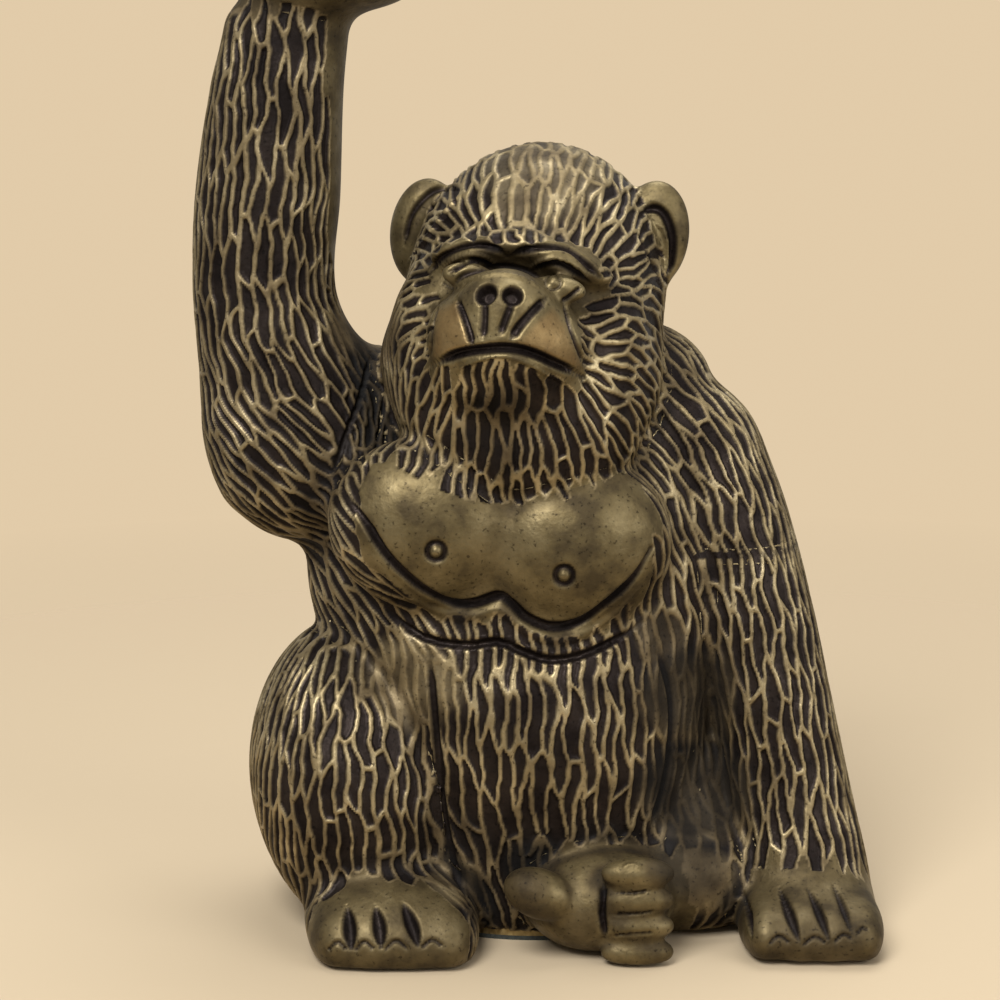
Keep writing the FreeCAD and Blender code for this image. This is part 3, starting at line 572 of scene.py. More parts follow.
def smooth_line(pixels):
    """Evenly spaced pixels on a smooth curve through a few."""
    pixels = np.array(pixels, float).reshape(-1, 2)
    ends = np.concatenate((2 * pixels[:1] - pixels[1:2], pixels, 2 * pixels[-1:] - pixels[-2:-1]))
    line = []
    for before, start, end, after in zip(ends[:-3], ends[1:-2], ends[2:-1], ends[3:]):
        count = max(int(np.linalg.norm(end - start) / LINE_SPACING), 2)
        slope = end - before
        bend = 2 * before - 5 * start + 4 * end - after
        twist = 3 * start - before - 3 * end + after
        for part in np.arange(count) / count:
            line.append(0.5 * (2 * start + slope * part + bend * part**2 + twist * part**3))
    line.append(pixels[-1])
    return np.array(line)


# A way or an outline is a row of pixels in the photograph's frame: across, down, across, down and so on.
# This one is the chest's lower edge, which a line, the bare chest and the band under it share.
CHEST_EDGE = (
    368, 527, 385, 554, 405, 575, 427, 592, 453, 603, 475, 603, 498, 596, 510, 603, 527, 618,
    552, 627, 579, 622, 607, 603, 633, 579, 652, 548,
)
# Carved and raised lines of the front: the way, the half width and the height over the surface, which
# is less than nought for a groove, in millimetres.
LINES = (
    # Mouth, with the thin lip line under it
    ((432, 366, 455, 355, 479, 350, 508, 348, 532, 353, 558, 365, 584, 377), 1.5, -2.2),
    ((455, 371, 477, 361, 501, 356, 524, 362, 548, 375, 574, 386), 0.7, 0.45),
    # Edges of the muzzle
    ((438, 304, 432, 328, 430, 358), 1, -0.9),
    ((564, 302, 571, 328, 580, 352, 587, 370), 1.1, -1.1),
    # Upper edge of the nose, the creases over it and the grooves at its sides
    ((457, 296, 468, 282, 493, 275, 518, 277, 543, 289), 0.9, 0.6),
    ((452, 288, 464, 275, 493, 267, 520, 269, 546, 281), 1.1, -0.8),
    ((456, 298, 463, 316, 469, 333, 472, 346), 1.2, -1.4),
    ((547, 298, 532, 313, 520, 326, 511, 339), 1.4, -1.4),
    # The nostrils' tapering grooves and the ridge between them
    ((484, 302, 484, 318, 483, 338), 1.3, -1.1),
    ((512, 303, 506, 318, 500, 334), 1.3, -1.1),
    # Brows: a wide dark groove over a raised rim, each with the dark gap of the eye under it
    ((429, 273, 441, 258, 457, 248, 475, 244, 493, 248, 508, 257), 1.3, -1.5),
    ((439, 273, 451, 262, 467, 255, 485, 256, 499, 267), 0.8, 0.6),
    ((449, 272, 465, 263, 481, 262, 494, 269), 1.2, -1.3),
    ((508, 257, 524, 251, 544, 246, 564, 247, 581, 257, 600, 277), 1.4, -1.5),
    ((527, 271, 540, 261, 558, 259, 575, 266, 590, 281), 0.8, 0.6),
    ((533, 270, 548, 264, 562, 265, 576, 273, 588, 282), 1.2, -1.3),
    # Lower lids and the creases below the eyes
    ((441, 282, 452, 288, 463, 287), 0.6, -0.5),
    ((562, 302, 572, 295, 582, 286), 0.9, -1),
    # Right ear: the deep bent groove, the ridge inside it and the edge in front
    ((641, 216, 652, 208, 664, 214, 672, 233, 673, 256, 668, 278), 1.5, -1.5),
    ((652, 220, 664, 231, 668, 252, 664, 276), 0.9, 0.5),
    ((638, 232, 650, 256, 663, 283), 1, -0.9),
    # Left ear: its rim and the fold behind
    ((462, 192, 440, 218, 420, 245, 405, 268), 0.8, 0.6),
    ((456, 186, 432, 192, 412, 214, 404, 244), 1.2, -0.8),
    # Under the chest: a deep line, a fold and a second deep line
    ((340, 488, 353, 505) + CHEST_EDGE, 1.5, -2),
    ((372, 556, 395, 584, 420, 603, 452, 615, 478, 615, 500, 610,
      527, 630, 553, 639, 582, 634, 612, 615, 640, 588), 1.4, 0.5),
    ((383, 605, 411, 631, 438, 642, 470, 645, 498, 642, 524, 652,
      548, 659, 574, 657, 600, 648, 628, 633, 642, 622), 1.4, -1.8),
    # Where the raised arm meets the chest
    ((372, 352, 362, 395, 350, 428, 340, 455, 330, 480), 1.2, -1.2),
    # Creases beside the belly and between the thigh and the lap
    ((428, 650, 434, 720, 440, 790, 452, 860, 470, 905), 1.6, -1.2),
    ((656, 640, 672, 700, 668, 770, 650, 835), 1.8, -1),
    # The curled foot: the gap beside the stacked toes, those between them and the top toe's knuckle
    ((604, 884, 602, 905, 604, 938), 1.2, -1.4),
    ((614, 892, 634, 893, 652, 890), 0.6, -0.7),
    ((612, 914, 636, 914, 656, 911), 0.6, -0.7),
    ((610, 936, 636, 934, 656, 932), 0.6, -0.7),
    ((622, 868, 632, 864, 642, 868), 0.6, 0.4),
)
# Nails at the front edge of the foot and the hand, all alike.
NAILS = (
    (326, 952, 337, 942, 347, 951), (354, 952, 364, 942, 375, 951), (384, 951, 396, 941, 408, 950),
    (421, 949, 432, 940, 443, 947), (768, 946, 779, 936, 790, 944), (803, 946, 815, 937, 827, 944),
    (834, 943, 844, 934, 853, 940), (856, 935, 863, 927, 869, 932),
)
NAIL_HALF_WIDTH = 0.7
NAIL_HEIGHT = -0.8
# Lens-shaped grooves between toes and fingers on the ground, given as the lines are.
LENSES = (
    ((347, 905, 349, 925, 351, 952), 1.9, -1.8),
    ((375, 905, 379, 925, 381, 950), 1.9, -1.8),
    ((403, 902, 411, 922, 419, 948), 1.9, -1.8),
    ((778, 885, 788, 910, 800, 944), 1.6, -1.3),
    ((806, 885, 818, 910, 830, 944), 1.4, -1.1),
    ((832, 882, 842, 905, 853, 936), 1.3, -0.9),
    ((742, 890, 748, 912, 752, 940), 1.5, -1.2),
)
# Round pits and knobs: the middle in the photograph's frame, the radius and the height in millimetres.
PITS = (
    ((485, 294), 2.6, -2.6),
    ((513, 295), 2.4, -2.6),
    ((436, 552), 1.1, 0.5),
    ((564, 576), 1.1, 0.5),
    ((553, 282), 1, 0.5),
)
# Rings: the middle in the photograph's frame, the radius there, then half width and height.
RINGS = (
    ((436, 552), 9, 1, -1.1),
    ((564, 576), 9, 1, -1.1),
    ((553, 282), 7.5, 0.6, -0.6),
)
# Round places in the photograph's frame: across, down, the radius and a share.
# Where the gouges fade, and how much of their depth goes:
CALM_PLACES = (
    (412, 680, 60, 0.7), (365, 322, 42, 0.9), (690, 700, 62, 0.7), (695, 800, 66, 0.65),
    (665, 640, 38, 0.5), (700, 880, 45, 0.9), (455, 880, 34, 0.7), (545, 155, 95, 0.6),
)
CALM_FULL = 0.5
# Where shade is painted in: mostly the creases, the lap and the places under the chin, the chest and the
# toes, with a darker tone on the crown; and how dark it is:
SHADE_PLACES = (
    (690, 690, 72, 0.85), (695, 790, 80, 1), (690, 860, 62, 0.8), (660, 640, 45, 0.6),
    (455, 850, 60, 0.55), (440, 740, 38, 0.35), (520, 890, 45, 0.5), (580, 925, 30, 0.45),
    (365, 335, 55, 0.6), (340, 200, 26, 0.35), (375, 400, 40, 0.45), (500, 430, 65, 0.5),
    (540, 180, 80, 0.3), (410, 600, 22, 0.4), (460, 616, 24, 0.5), (510, 612, 20, 0.5),
    (560, 640, 24, 0.5), (620, 605, 26, 0.5), (310, 850, 45, 0.25),
)
SHADE_FULL = 0.4

# A gouge's usual half length and width in the fur, in millimetres.
USUAL_GOUGE = (5.5, 2.1)
# The way that the fur runs: short steps from one pixel to another, then the gouge's own half length and
# width where they aren't the usual ones.
FUR_STEPS = (
    # Raised forearm and elbow
    (270, 20, 266, 90), (305, 20, 303, 90), (240, 60, 234, 130), (255, 150, 248, 220),
    (215, 180, 210, 240), (300, 160, 296, 230), (225, 270, 226, 330), (275, 270, 282, 330),
    (315, 280, 328, 330, 5, 2), (205, 350, 216, 400), (245, 350, 265, 400),
    (290, 350, 318, 395, 5, 2), (225, 425, 262, 465), (270, 410, 315, 445),
    (325, 380, 352, 410, 5, 1.9), (260, 480, 305, 520), (305, 455, 345, 490),
    (345, 350, 372, 395, 4.5, 1.9),
    # Side of the chest
    (300, 545, 330, 590), (330, 510, 358, 560, 5, 2), (345, 580, 375, 620, 5, 2),
    (385, 345, 390, 390, 4.5, 1.9), (385, 400, 375, 440, 4.5, 1.9), (410, 350, 412, 400, 4, 1.8),
    # Beard and neck
    (440, 395, 424, 440, 5.5, 1.9), (480, 385, 472, 450, 6.5, 1.9), (520, 385, 520, 455, 6.5, 1.9),
    (560, 395, 572, 450, 6.5, 1.9), (590, 400, 612, 445, 6, 1.9), (620, 390, 650, 425, 5.5, 1.9),
    (430, 450, 420, 485, 4, 1.8), (500, 460, 500, 495, 4, 1.8), (560, 460, 568, 495, 4, 1.8),
    # Cheeks
    (436, 300, 408, 304, 3.2, 1.6), (432, 330, 406, 340, 3.2, 1.6), (430, 355, 408, 372, 3.2, 1.6),
    (590, 300, 640, 290, 3.6, 2.1), (592, 325, 645, 322, 3.6, 2.1), (590, 350, 645, 358, 3.8, 2.1),
    (600, 372, 645, 395, 4, 1.7), (600, 275, 640, 255, 3.6, 1.6),
    # Crown and brow
    (470, 235, 462, 205, 4.2, 1.9), (440, 245, 425, 225, 3.6, 1.8), (500, 240, 497, 205, 4.2, 1.9),
    (540, 235, 542, 200, 4.2, 1.9), (575, 240, 585, 205, 4.2, 1.9), (600, 250, 622, 222, 4, 1.9),
    (500, 190, 505, 160, 5, 1.9), (545, 185, 548, 150, 5, 1.9), (590, 190, 600, 165, 4.5, 1.9),
    # Shoulder and upper arm on the right
    (650, 340, 682, 385, 5, 2), (680, 350, 715, 400, 5, 2), (640, 400, 668, 440, 5, 2),
    (700, 410, 730, 465), (740, 420, 765, 480), (660, 450, 690, 505, 5, 2), (720, 480, 738, 540),
    (775, 500, 788, 560), (680, 530, 705, 590),
    # Lowered forearm
    (740, 560, 750, 625), (795, 580, 806, 645), (710, 620, 725, 690), (760, 660, 768, 730),
    (820, 680, 832, 750), (745, 740, 750, 810), (795, 770, 802, 835), (845, 790, 856, 850),
    (750, 820, 748, 865, 5, 2),
    # Belly
    (460, 665, 462, 735, 6.5, 2.2), (510, 665, 510, 735, 6.5, 2.2), (560, 670, 562, 740, 6.5, 2.2),
    (612, 675, 614, 745, 6.5, 2.2), (470, 760, 476, 830, 6.5, 2.2), (530, 760, 532, 830, 6.5, 2.2),
    (590, 765, 588, 835, 6, 2.2), (640, 700, 640, 770, 6, 2.2), (420, 610, 432, 622, 3.4, 1.7),
    (500, 615, 500, 628, 3.2, 1.7), (570, 632, 572, 645, 3.2, 1.7),
    # Haunch and shin
    (300, 665, 278, 715), (345, 650, 335, 710), (395, 650, 400, 710), (262, 740, 258, 800),
    (315, 730, 310, 795), (370, 740, 372, 800), (270, 820, 282, 880), (325, 810, 332, 870),
    (385, 810, 392, 870), (415, 720, 420, 790), (420, 830, 440, 885, 5, 2),
)
# The same on the sides and the back, which the photograph doesn't show: a place and a way in the frame's
# own axes.
UNSEEN_FUR = (
    (-85, 5, 150, 0, 0, -1), (-62, 12, 180, 0, 0, -1), (-62, 15, 140, 0, 0, -1),
    (-70, 15, 105, 0.5, 0.2, -1), (-45, 35, 100, 0.1, 0, -1), (-10, 38, 100, 0, 0, -1),
    (25, 33, 95, 0.1, 0, -1), (-10, 42, 50, 0, 0, -1), (-45, 35, 50, -0.1, 0, -1),
    (35, 32, 50, 0.2, 0, -1), (60, -10, 60, 0.2, -0.3, -1), (50, 5, 90, 0.4, -0.2, -1),
    (60, -25, 25, 0.1, -0.1, -1), (-75, 0, 35, 0, 0, -1), (-65, 25, 30, 0, 0, -1),
    (45, 20, 20, 0.1, 0, -1), (-10, 40, 15, 0, 0, -1), (-9, 20, 165, 0, 0.6, -0.6),
    (-9, 26, 140, 0, 0.1, -1), (18, 5, 140, 0.1, 0.5, -0.8), (-37, 5, 140, -0.1, 0.5, -0.8),
    (-10, 0, 173, 0, 1, -0.1), (20, 15, 120, 0.6, 0.1, -0.7), (-40, 20, 118, -0.4, 0.1, -0.8),
    (-12, 30, 120, 0, 0.2, -1), (-48, -10, 150, 0, 0, -1), (30, -30, 60, 0.1, 0, -1),
)

# Outlines of the places with no fur, each on one group.
BARE_PLACES = (
    ("torso", CHEST_EDGE + (
        652, 520, 642, 482, 622, 470, 596, 488, 560, 502, 520, 504, 470, 500, 430, 484, 392, 462,
        372, 462, 357, 492,
    )),
    ("torso", CHEST_EDGE + (
        655, 575, 640, 592, 610, 617, 580, 634, 553, 640, 527, 631, 500, 611, 476, 616, 450, 616,
        420, 604, 395, 586, 372, 556,
    )),
    ("head", (
        426, 270, 438, 250, 462, 240, 482, 239, 507, 248, 523, 248, 543, 240, 567, 241, 585, 251,
        606, 277, 590, 300, 575, 305, 582, 340, 588, 382, 545, 374, 500, 358, 460, 368, 431, 368,
        430, 330, 440, 300, 430, 285,
    )),
    ("raised_arm", (326, 0, 350, 0, 350, 250, 338, 290, 328, 250, 330, 120)),
    ("right_leg", (312, 905, 340, 892, 370, 886, 410, 886, 440, 892, 470, 930, 468, 970, 300, 970)),
    ("left_leg", (480, 870, 520, 850, 560, 838, 620, 838, 665, 850, 690, 880, 690, 970, 480, 970)),
    ("lowered_arm", (735, 885, 745, 868, 800, 868, 850, 874, 880, 900, 890, 970, 725, 970)),
)
# The gouges' depth, the width of their sides, and how their strength and their edge vary.
GOUGE_DEPTH = 0.8
GOUGE_RISE = 0.55
STRENGTHS = (0.65, 1.15)
EDGES = (0.12, 0.42)
SEED_CANDIDATES = 26000
NEIGHBOURS = 12
# How near the figure's surface a gouge's middle, and any point that is carved, lies.
SEED_GAP = 0.4
OUTER_GAP = 0.25


def outline_distance(pixels, outline):
    """How far pixels lie outside an outline, in pixels; less than nought inside it."""
    corners = np.array(outline, float).reshape(-1, 2)
    nearest = np.full(len(pixels), VERY_FAR)
    inside = np.zeros(len(pixels), bool)
    for start, end in zip(corners, np.roll(corners, -1, axis=0)):
        side = end - start
        part = np.clip(((pixels - start) @ side) / (side @ side), 0.0, 1.0)
        gap = np.linalg.norm(pixels - start - part[:, None] * side, axis=1)
        nearest = np.minimum(nearest, gap)
        crosses = (start[1] > pixels[:, 1]) != (end[1] > pixels[:, 1])
        height = end[1] - start[1] if end[1] != start[1] else 1e-9
        at = start[0] + (pixels[:, 1] - start[1]) * side[0] / height
        inside ^= crosses & (pixels[:, 0] < at)
    return np.where(inside, -nearest, nearest)


# The fur starts this far off the ears, and an outline counts where the surface turns to the camera.
EAR_FADE = (0.4, 1.2)
SEEN_SLOPE = 0.25


def bare_share(points, normals, soft):
    """How bare the figure is at points: 1 in its bare places, 0 in its fur."""
    owner = np.argmin(all_distances(points), axis=0)
    result = (owner == names.index("raised_hand")).astype(float)
    ears = np.minimum(ear_form(-1)(points), ear_form(1)(points))
    on_head = owner == names.index("head")
    result = np.maximum(result, (1.0 - smooth_step(*EAR_FADE, ears)) * on_head)
    pixels = seen_from(points)
    facing = normals @ LOOK < SEEN_SLOPE
    for name, outline in BARE_PLACES:
        share = 1.0 - smooth_step(-soft, soft, outline_distance(pixels, outline))
        result = np.maximum(result, share * facing * (owner == names.index(name)))
    return result


GUIDE_ROUNDS = 6


def fur_guides():
    """Places, ways and sizes of the fur, gathered from the lists above."""
    steps = np.array([step if len(step) > 4 else step + USUAL_GOUGE for step in FUR_STEPS], float)
    starts, ends = seen_at(steps[:, :2]), seen_at(steps[:, 2:4])
    unseen = np.array(UNSEEN_FUR, float)
    places = np.concatenate(((starts + ends) / 2, settle(figure, unseen[:, :3], GUIDE_ROUNDS)))
    ways = np.concatenate((ends - starts, unseen[:, 3:]))
    sizes = np.concatenate((steps[:, 4:], np.tile(USUAL_GOUGE, (len(unseen), 1))))
    return places, unit(ways), sizes


# Nearer than this, a guide's weight hardly grows.
GUIDE_REACH = 5.0


def fur_at(guides, points, normals):
    """The way and the size of the fur at points, from the guides round them."""
    places, ways, sizes = guides
    gaps = ((points[:, None, :] - places[None]) ** 2).sum(axis=2)
    weights = 1.0 / (gaps + GUIDE_REACH**2) ** 2
    weights /= weights.sum(axis=1)[:, None]
    way = weights @ ways
    way -= (way * normals).sum(axis=1)[:, None] * normals
    return unit(way), weights @ sizes


def stretched_gap(offsets, ways, sizes):
    """Distances over the surface, short along the fur and long across it."""
    along = (offsets * ways).sum(axis=-1)
    square = np.maximum((offsets**2).sum(axis=-1) - along**2, 0.0)
    return np.sqrt((along / sizes[..., 0]) ** 2 + square / sizes[..., 1] ** 2)


def tree_of(points):
    tree = kdtree.KDTree(len(points))
    for number, point in enumerate(points):
        tree.insert(point, number)
    tree.balance()
    return tree


def fur_seeds(guides, nets, chance):
    """Middles of the gouges, spread evenly over the figure."""
    points = np.concatenate(nets)
    points = points[chance.permutation(len(points))[:SEED_CANDIDATES]]
    points = points[np.abs(figure(points)) < SEED_GAP]
    normals = unit(slopes_of(figure, points))
    ways, sizes = fur_at(guides, points, normals)
    tree = tree_of(points)
    free = np.ones(len(points), bool)
    kept = []
    for number in range(len(points)):
        if not free[number]:
            continue
        kept.append(number)
        near = np.array([found[1] for found in tree.find_range(points[number], sizes[number, 0] * 2)])
        gap = stretched_gap(points[near] - points[number], ways[number], sizes[number] * (2.0, 1.0))
        free[near[gap < 1.0]] = False
    return points[kept], normals[kept], ways[kept], sizes[kept]


# The fur's edges wander by these widths over these lengths, in millimetres.
WANDER = ((0.42, 14.0), (0.10, 4.5))


def wandered(points):
    """Points moved a little to and fro, so that the gouges' edges aren't straight."""
    moved = points.copy()
    for width, length in WANDER:
        turn = 2 * np.pi * points / length
        moved[:, 0] += width * np.sin(turn[:, 2] + 1.3 * np.sin(turn[:, 1] * 0.7))
        moved[:, 1] += width * np.sin(turn[:, 2] * 0.9 + 1.1 * np.sin(turn[:, 0] * 0.8) + 2.0)
        moved[:, 2] += width * np.sin(turn[:, 0] * 0.8 + turn[:, 1] * 0.6 + 4.0)
    return moved


LEAST_STEEPNESS = 0.05


def gouges(seeds, tree, points):
    """How far inside a gouge's edge points lie, in millimetres, and the nearest seed of each."""
    points = wandered(points)
    places, _, ways, sizes = seeds
    near = np.array([[found[1] for found in tree.find_n(point, NEIGHBOURS)] for point in points])
    offsets = points[:, None, :] - places[near]
    way = ways[near]
    along = (offsets * way).sum(axis=2)
    across = offsets - along[..., None] * way
    length, width = sizes[near, 0] * 2.0, sizes[near, 1]
    gaps = np.sqrt((along / length) ** 2 + (across**2).sum(axis=2) / width**2)
    slopes = (along / length**2)[..., None] * way + across / (width**2)[..., None]
    slopes /= np.maximum(gaps, TINY)[..., None]
    first = np.argmin(gaps, axis=1)
    rows = np.arange(len(points))
    rise = gaps - gaps[rows, first][:, None]
    steep = np.linalg.norm(slopes - slopes[rows, first][:, None, :], axis=2)
    inward = rise / np.maximum(steep, LEAST_STEEPNESS)
    inward[rows, first] = VERY_FAR
    return inward.min(axis=1), near[rows, first]


def deepest(height, close, change):
    """Keeps at each of some points the change that is the largest either way."""
    larger = np.abs(change) > np.abs(height[close])
    height[close[larger]] = change[larger]


# Where the side of each kind of line starts and ends, as shares of its half width. No line has a say
# beyond LINE_REACH half widths.
SIDES = {"line": (0.1, 1.0), "lens": (0.2, 1.0), "pit": (0.6, 1.05), "ring": (0.0, 1.0)}
LINE_REACH = 1.5
# A line tapers to this share over its last eighth at both ends.
LINE_END = 0.3
END_PARTS = 8.0


def line_height(points, lines):
    """The height that the carved and raised lines, pits and rings give points."""
    height = np.zeros(len(points))
    for line, half_width, rise_of_line, kind in lines:
        margin = half_width * LINE_REACH
        low, high = line.min(axis=0) - margin, line.max(axis=0) + margin
        close = np.flatnonzero(np.all((points > low) & (points < high), axis=1))
        if not len(close):
            continue
        gap = np.full(len(close), VERY_FAR)
        place = np.zeros(len(close))
        for number, point in enumerate(line):
            distance = np.linalg.norm(points[close] - point, axis=1)
            nearer = distance < gap
            gap[nearer] = distance[nearer]
            place[nearer] = number / max(len(line) - 1, 1)
        taper, width = 1.0, half_width
        if kind == "lens":
            taper = np.maximum(np.sin(np.pi * (0.04 + 0.92 * place)), 0.05) ** 0.8
            width = half_width * taper
        elif kind == "line":
            taper = np.clip(np.minimum(place, 1 - place) * END_PARTS, LINE_END, 1.0)
            width = half_width * (0.5 + 0.5 * taper)
        deepest(height, close, rise_of_line * taper * (1.0 - smooth_step(*SIDES[kind], gap / width)))
    return height


def all_lines():
    """The lines, nails, lenses, pits and rings with their points on the figure."""
    nails = tuple((nail, NAIL_HALF_WIDTH, NAIL_HEIGHT) for nail in NAILS)
    found = []
    for kind, table in (("line", LINES + nails), ("lens", LENSES)):
        found += [(seen_at(smooth_line(way)), half_width, height, kind) for way, half_width, height in table]
    found += [(seen_at(middle), radius, height, "pit") for middle, radius, height in PITS]
    angles = np.linspace(0, 2 * np.pi, 25)
    circle = np.stack((np.cos(angles), np.sin(angles)), axis=1)
    for middle, radius, half_width, height in RINGS:
        found.append((seen_at(np.array(middle) + radius * circle), half_width, height, "ring"))
    return found


# The slopes to the camera's look between which a surface comes from out of sight into full sight.
SIGHT_FADE = (0.3, -0.1)
# Round places end at this part of their radius.
SPOT_END = 1.1


def turned_to_camera(normals):
    return smooth_step(*SIGHT_FADE, normals @ LOOK)


def spotted(points, normals, places, full):
    """The largest share that round places give points, whole up to a part of the radius."""
    pixels = seen_from(points)
    result = np.zeros(len(points))
    for across, down, radius, share in places:
        gap = np.linalg.norm(pixels - (across, down), axis=1)
        result = np.maximum(result, share * (1.0 - smooth_step(full, SPOT_END, gap / radius)))
    return result * turned_to_camera(normals)


# The muzzle's two sides, which are worn to a warmer colour.
WARM_PLACES = (
    (437, 310, 455, 302, 471, 345, 433, 358),
    (553, 308, 566, 325, 583, 370, 517, 342),
)
WARM_SHARE = 0.45
WARM_FADE = (-5.0, 4.0)


def warmth(points, normals):
    """How warm the metal's colour is at points."""
    pixels = seen_from(points)
    warm = [1.0 - smooth_step(*WARM_FADE, outline_distance(pixels, outline)) for outline in WARM_PLACES]
    return WARM_SHARE * np.maximum(*warm) * turned_to_camera(normals)


# The dark line at the lowered arm's joint: where its side starts and ends, the pixels over which it
# fades, and how dark it is before and after them. The arm lies beyond ARM_START.
JOINT_EDGE = (0.3, 1.0)
JOINT_FADE = (722.0, 742.0)
JOINT_SHARES = (0.9, 0.3)
ARM_START = 26.0


def joint_dark(points):
    """The dark line where the lowered arm is pinned to its shoulder."""
    near = 1.0 - smooth_step(*JOINT_EDGE, np.abs(points[:, 2] - ARM_JOINT_HEIGHT))
    before, after = JOINT_SHARES
    share = before + (after - before) * smooth_step(*JOINT_FADE, seen_from(points)[:, 0])
    return near * (points[:, 0] > ARM_START) * share


# How far over the surface the painted shade in creases is felt for, and the weight of each of the two.
SHADE_PROBES = ((4.0, 0.5), (9.0, 0.7))


def painted_shade(points, normals):
    """How much painted shade the forms round points give them: 0 in the open, about 1 in a deep crease."""
    total = sum(weight * (1.0 - figure(points + normals * reach) / reach) for reach, weight in SHADE_PROBES)
    return np.clip(total, 0.0, 1.0)


def add_attribute(mesh, name, values):
    attribute = mesh.attributes.new(name, "FLOAT", "POINT")
    attribute.data.foreach_set("value", values.astype(np.float32))


SEED = 7
# How softly the bare outlines end, in pixels, for a gouge's middle and for a point, and how bare each has
# to be for nothing to be carved there.
MIDDLE_SOFTNESS = 4.0
MIDDLE_LIMIT = 0.5
POINT_SOFTNESS = 1.0
POINT_LIMIT = 0.98

chance = np.random.default_rng(SEED)
guides = fur_guides()
lines = all_lines()
nets = {piece_name: net_of(piece_name) for piece_name in PIECES}
seeds = fur_seeds(guides, [points for points, quads in nets.values()], chance)
seed_tree = tree_of(seeds[0])
seed_strength = chance.uniform(*STRENGTHS, len(seeds[0]))
seed_edge = chance.uniform(*EDGES, len(seeds[0]))
bare_seeds = bare_share(seeds[0], seeds[1], MIDDLE_SOFTNESS) > MIDDLE_LIMIT

# A line of this height or more leaves this share of the gouges under it, and darkens with its depth.
LEAST_STROKE = 0.05
GOUGE_UNDER_LINE = 0.4
LINE_DARKNESS = 0.8
# The painted shade in the head's creases is this share of that elsewhere.
HEAD_SHADE = 0.5


def carved_fur(points, normals):
    """What the gouges do at points: the share of their depth, and the share of bare metal."""
    into, seed = gouges(seeds, seed_tree, points)
    bare = np.maximum(bare_seeds[seed], bare_share(points, normals, POINT_SOFTNESS) > POINT_LIMIT)
    left = 1.0 - spotted(points, normals, CALM_PLACES, CALM_FULL)
    rise_of_edge = smooth_step(0.0, GOUGE_RISE, into - seed_edge[seed])
    return rise_of_edge * seed_strength[seed] * (1.0 - bare) * left, bare


def finished(piece_name):
    """A piece as it is seen: its net is divided, settled on the figure and carved."""
    node, name, _ = PIECES[piece_name]
    item = divided(mesh_object(piece_name, *nets[piece_name]))
    points = settle(piece_field(piece_name), mesh_points(item.data))
    normals = unit(slopes_of(figure, points))
    outer = np.abs(figure(points)) < OUTER_GAP
    skin = points[outer], normals[outer]
    carve, bare, shade_share = np.zeros((3, len(points)))
    carve[outer], bare[outer] = carved_fur(*skin)
    strokes = line_height(points, lines)
    gouged = -GOUGE_DEPTH * carve
    height = np.where(
        np.abs(strokes) > LEAST_STROKE, np.minimum(strokes, gouged * GOUGE_UNDER_LINE + strokes), gouged
    )
    beyond = beyond_own(piece_name, all_distances(points), points)
    height -= SEAM_SINK * smooth_step(*SEAM_FADE, beyond)
    height[~outer] = 0.0
    hollow = np.maximum(carve, np.clip(-strokes * LINE_DARKNESS, 0, 1))
    if name in ("torso", "lowered_arm"):
        hollow = np.maximum(hollow, joint_dark(points))
    # Painted shade: darker colour in the creases round each point and in the listed shade places, less in the
    # head's creases.
    creases = painted_shade(*skin) * (HEAD_SHADE if name == "head" else 1.0)
    shade_share[outer] = np.maximum(creases, spotted(*skin, SHADE_PLACES, SHADE_FULL))
    warm = warmth(points, normals) if name == "head" else np.zeros(len(points))
    points = points + normals * height[:, None]
    points[:, 2] = np.maximum(points[:, 2], GROUND)
    mesh = item.data
    mesh.vertices.foreach_set("co", (points * MM).ravel())
    mesh.polygons.foreach_set("use_smooth", [True] * len(mesh.polygons))
    for title, values in (("hollow", hollow), ("bare", bare), ("painted_shade", shade_share), ("warm", warm)):
        add_attribute(mesh, title, values)
    mesh.update()
    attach(item, "root")
    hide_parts(node)
    return item


made = [finished(piece_name) for piece_name in PIECES]


def shader_of(material):
    """A material's node tree, left with one shader and its output."""
    material.use_nodes = True
    tree = material.node_tree
    tree.nodes.clear()
    output = tree.nodes.new("ShaderNodeOutputMaterial")
    shader = tree.nodes.new("ShaderNodeBsdfPrincipled")
    tree.links.new(shader.outputs["BSDF"], output.inputs["Surface"])
    return tree, shader


def noise_node(tree, scale, detail, stretch=(1, 1, 1)):
    """A noise over the object's own coordinates, per metre, that can be drawn out along an axis."""
    place = tree.nodes.new("ShaderNodeTexCoord")
    mapping = tree.nodes.new("ShaderNodeMapping")
    mapping.inputs["Scale"].default_value = stretch
    noise = tree.nodes.new("ShaderNodeTexNoise")
    noise.inputs["Scale"].default_value = scale
    noise.inputs["Detail"].default_value = detail
    tree.links.new(place.outputs["Object"], mapping.inputs["Vector"])
    tree.links.new(mapping.outputs["Vector"], noise.inputs["Vector"])
    return noise.outputs["Fac"]


def ramp_node(tree, values, stops):
    """Colours over values: each stop is its position, then red, green and blue."""
    ramp = tree.nodes.new("ShaderNodeValToRGB")
    elements = ramp.color_ramp.elements
    for element, stop in zip(elements, (stops[0], stops[-1])):
        element.position = stop[0]
        element.color = (*stop[1:], 1)
    for stop in stops[1:-1]:
        elements.new(stop[0]).color = (*stop[1:], 1)
    tree.links.new(values, ramp.inputs["Fac"])
    return ramp.outputs["Color"]


def mixed(tree, share, first, second, kind="MIX"):
    """Two colours, mixed by a share that is a number or an output."""
    mix = tree.nodes.new("ShaderNodeMix")
    mix.data_type = "RGBA"
    mix.blend_type = kind
    for socket, value in (("Factor_Float", share), ("A_Color", first), ("B_Color", second)):
        target = next(item for item in mix.inputs if item.identifier == socket)
        if isinstance(value, bpy.types.NodeSocket):
            tree.links.new(value, target)
        else:
            target.default_value = value
    return next(item for item in mix.outputs if item.identifier == "Result_Color")


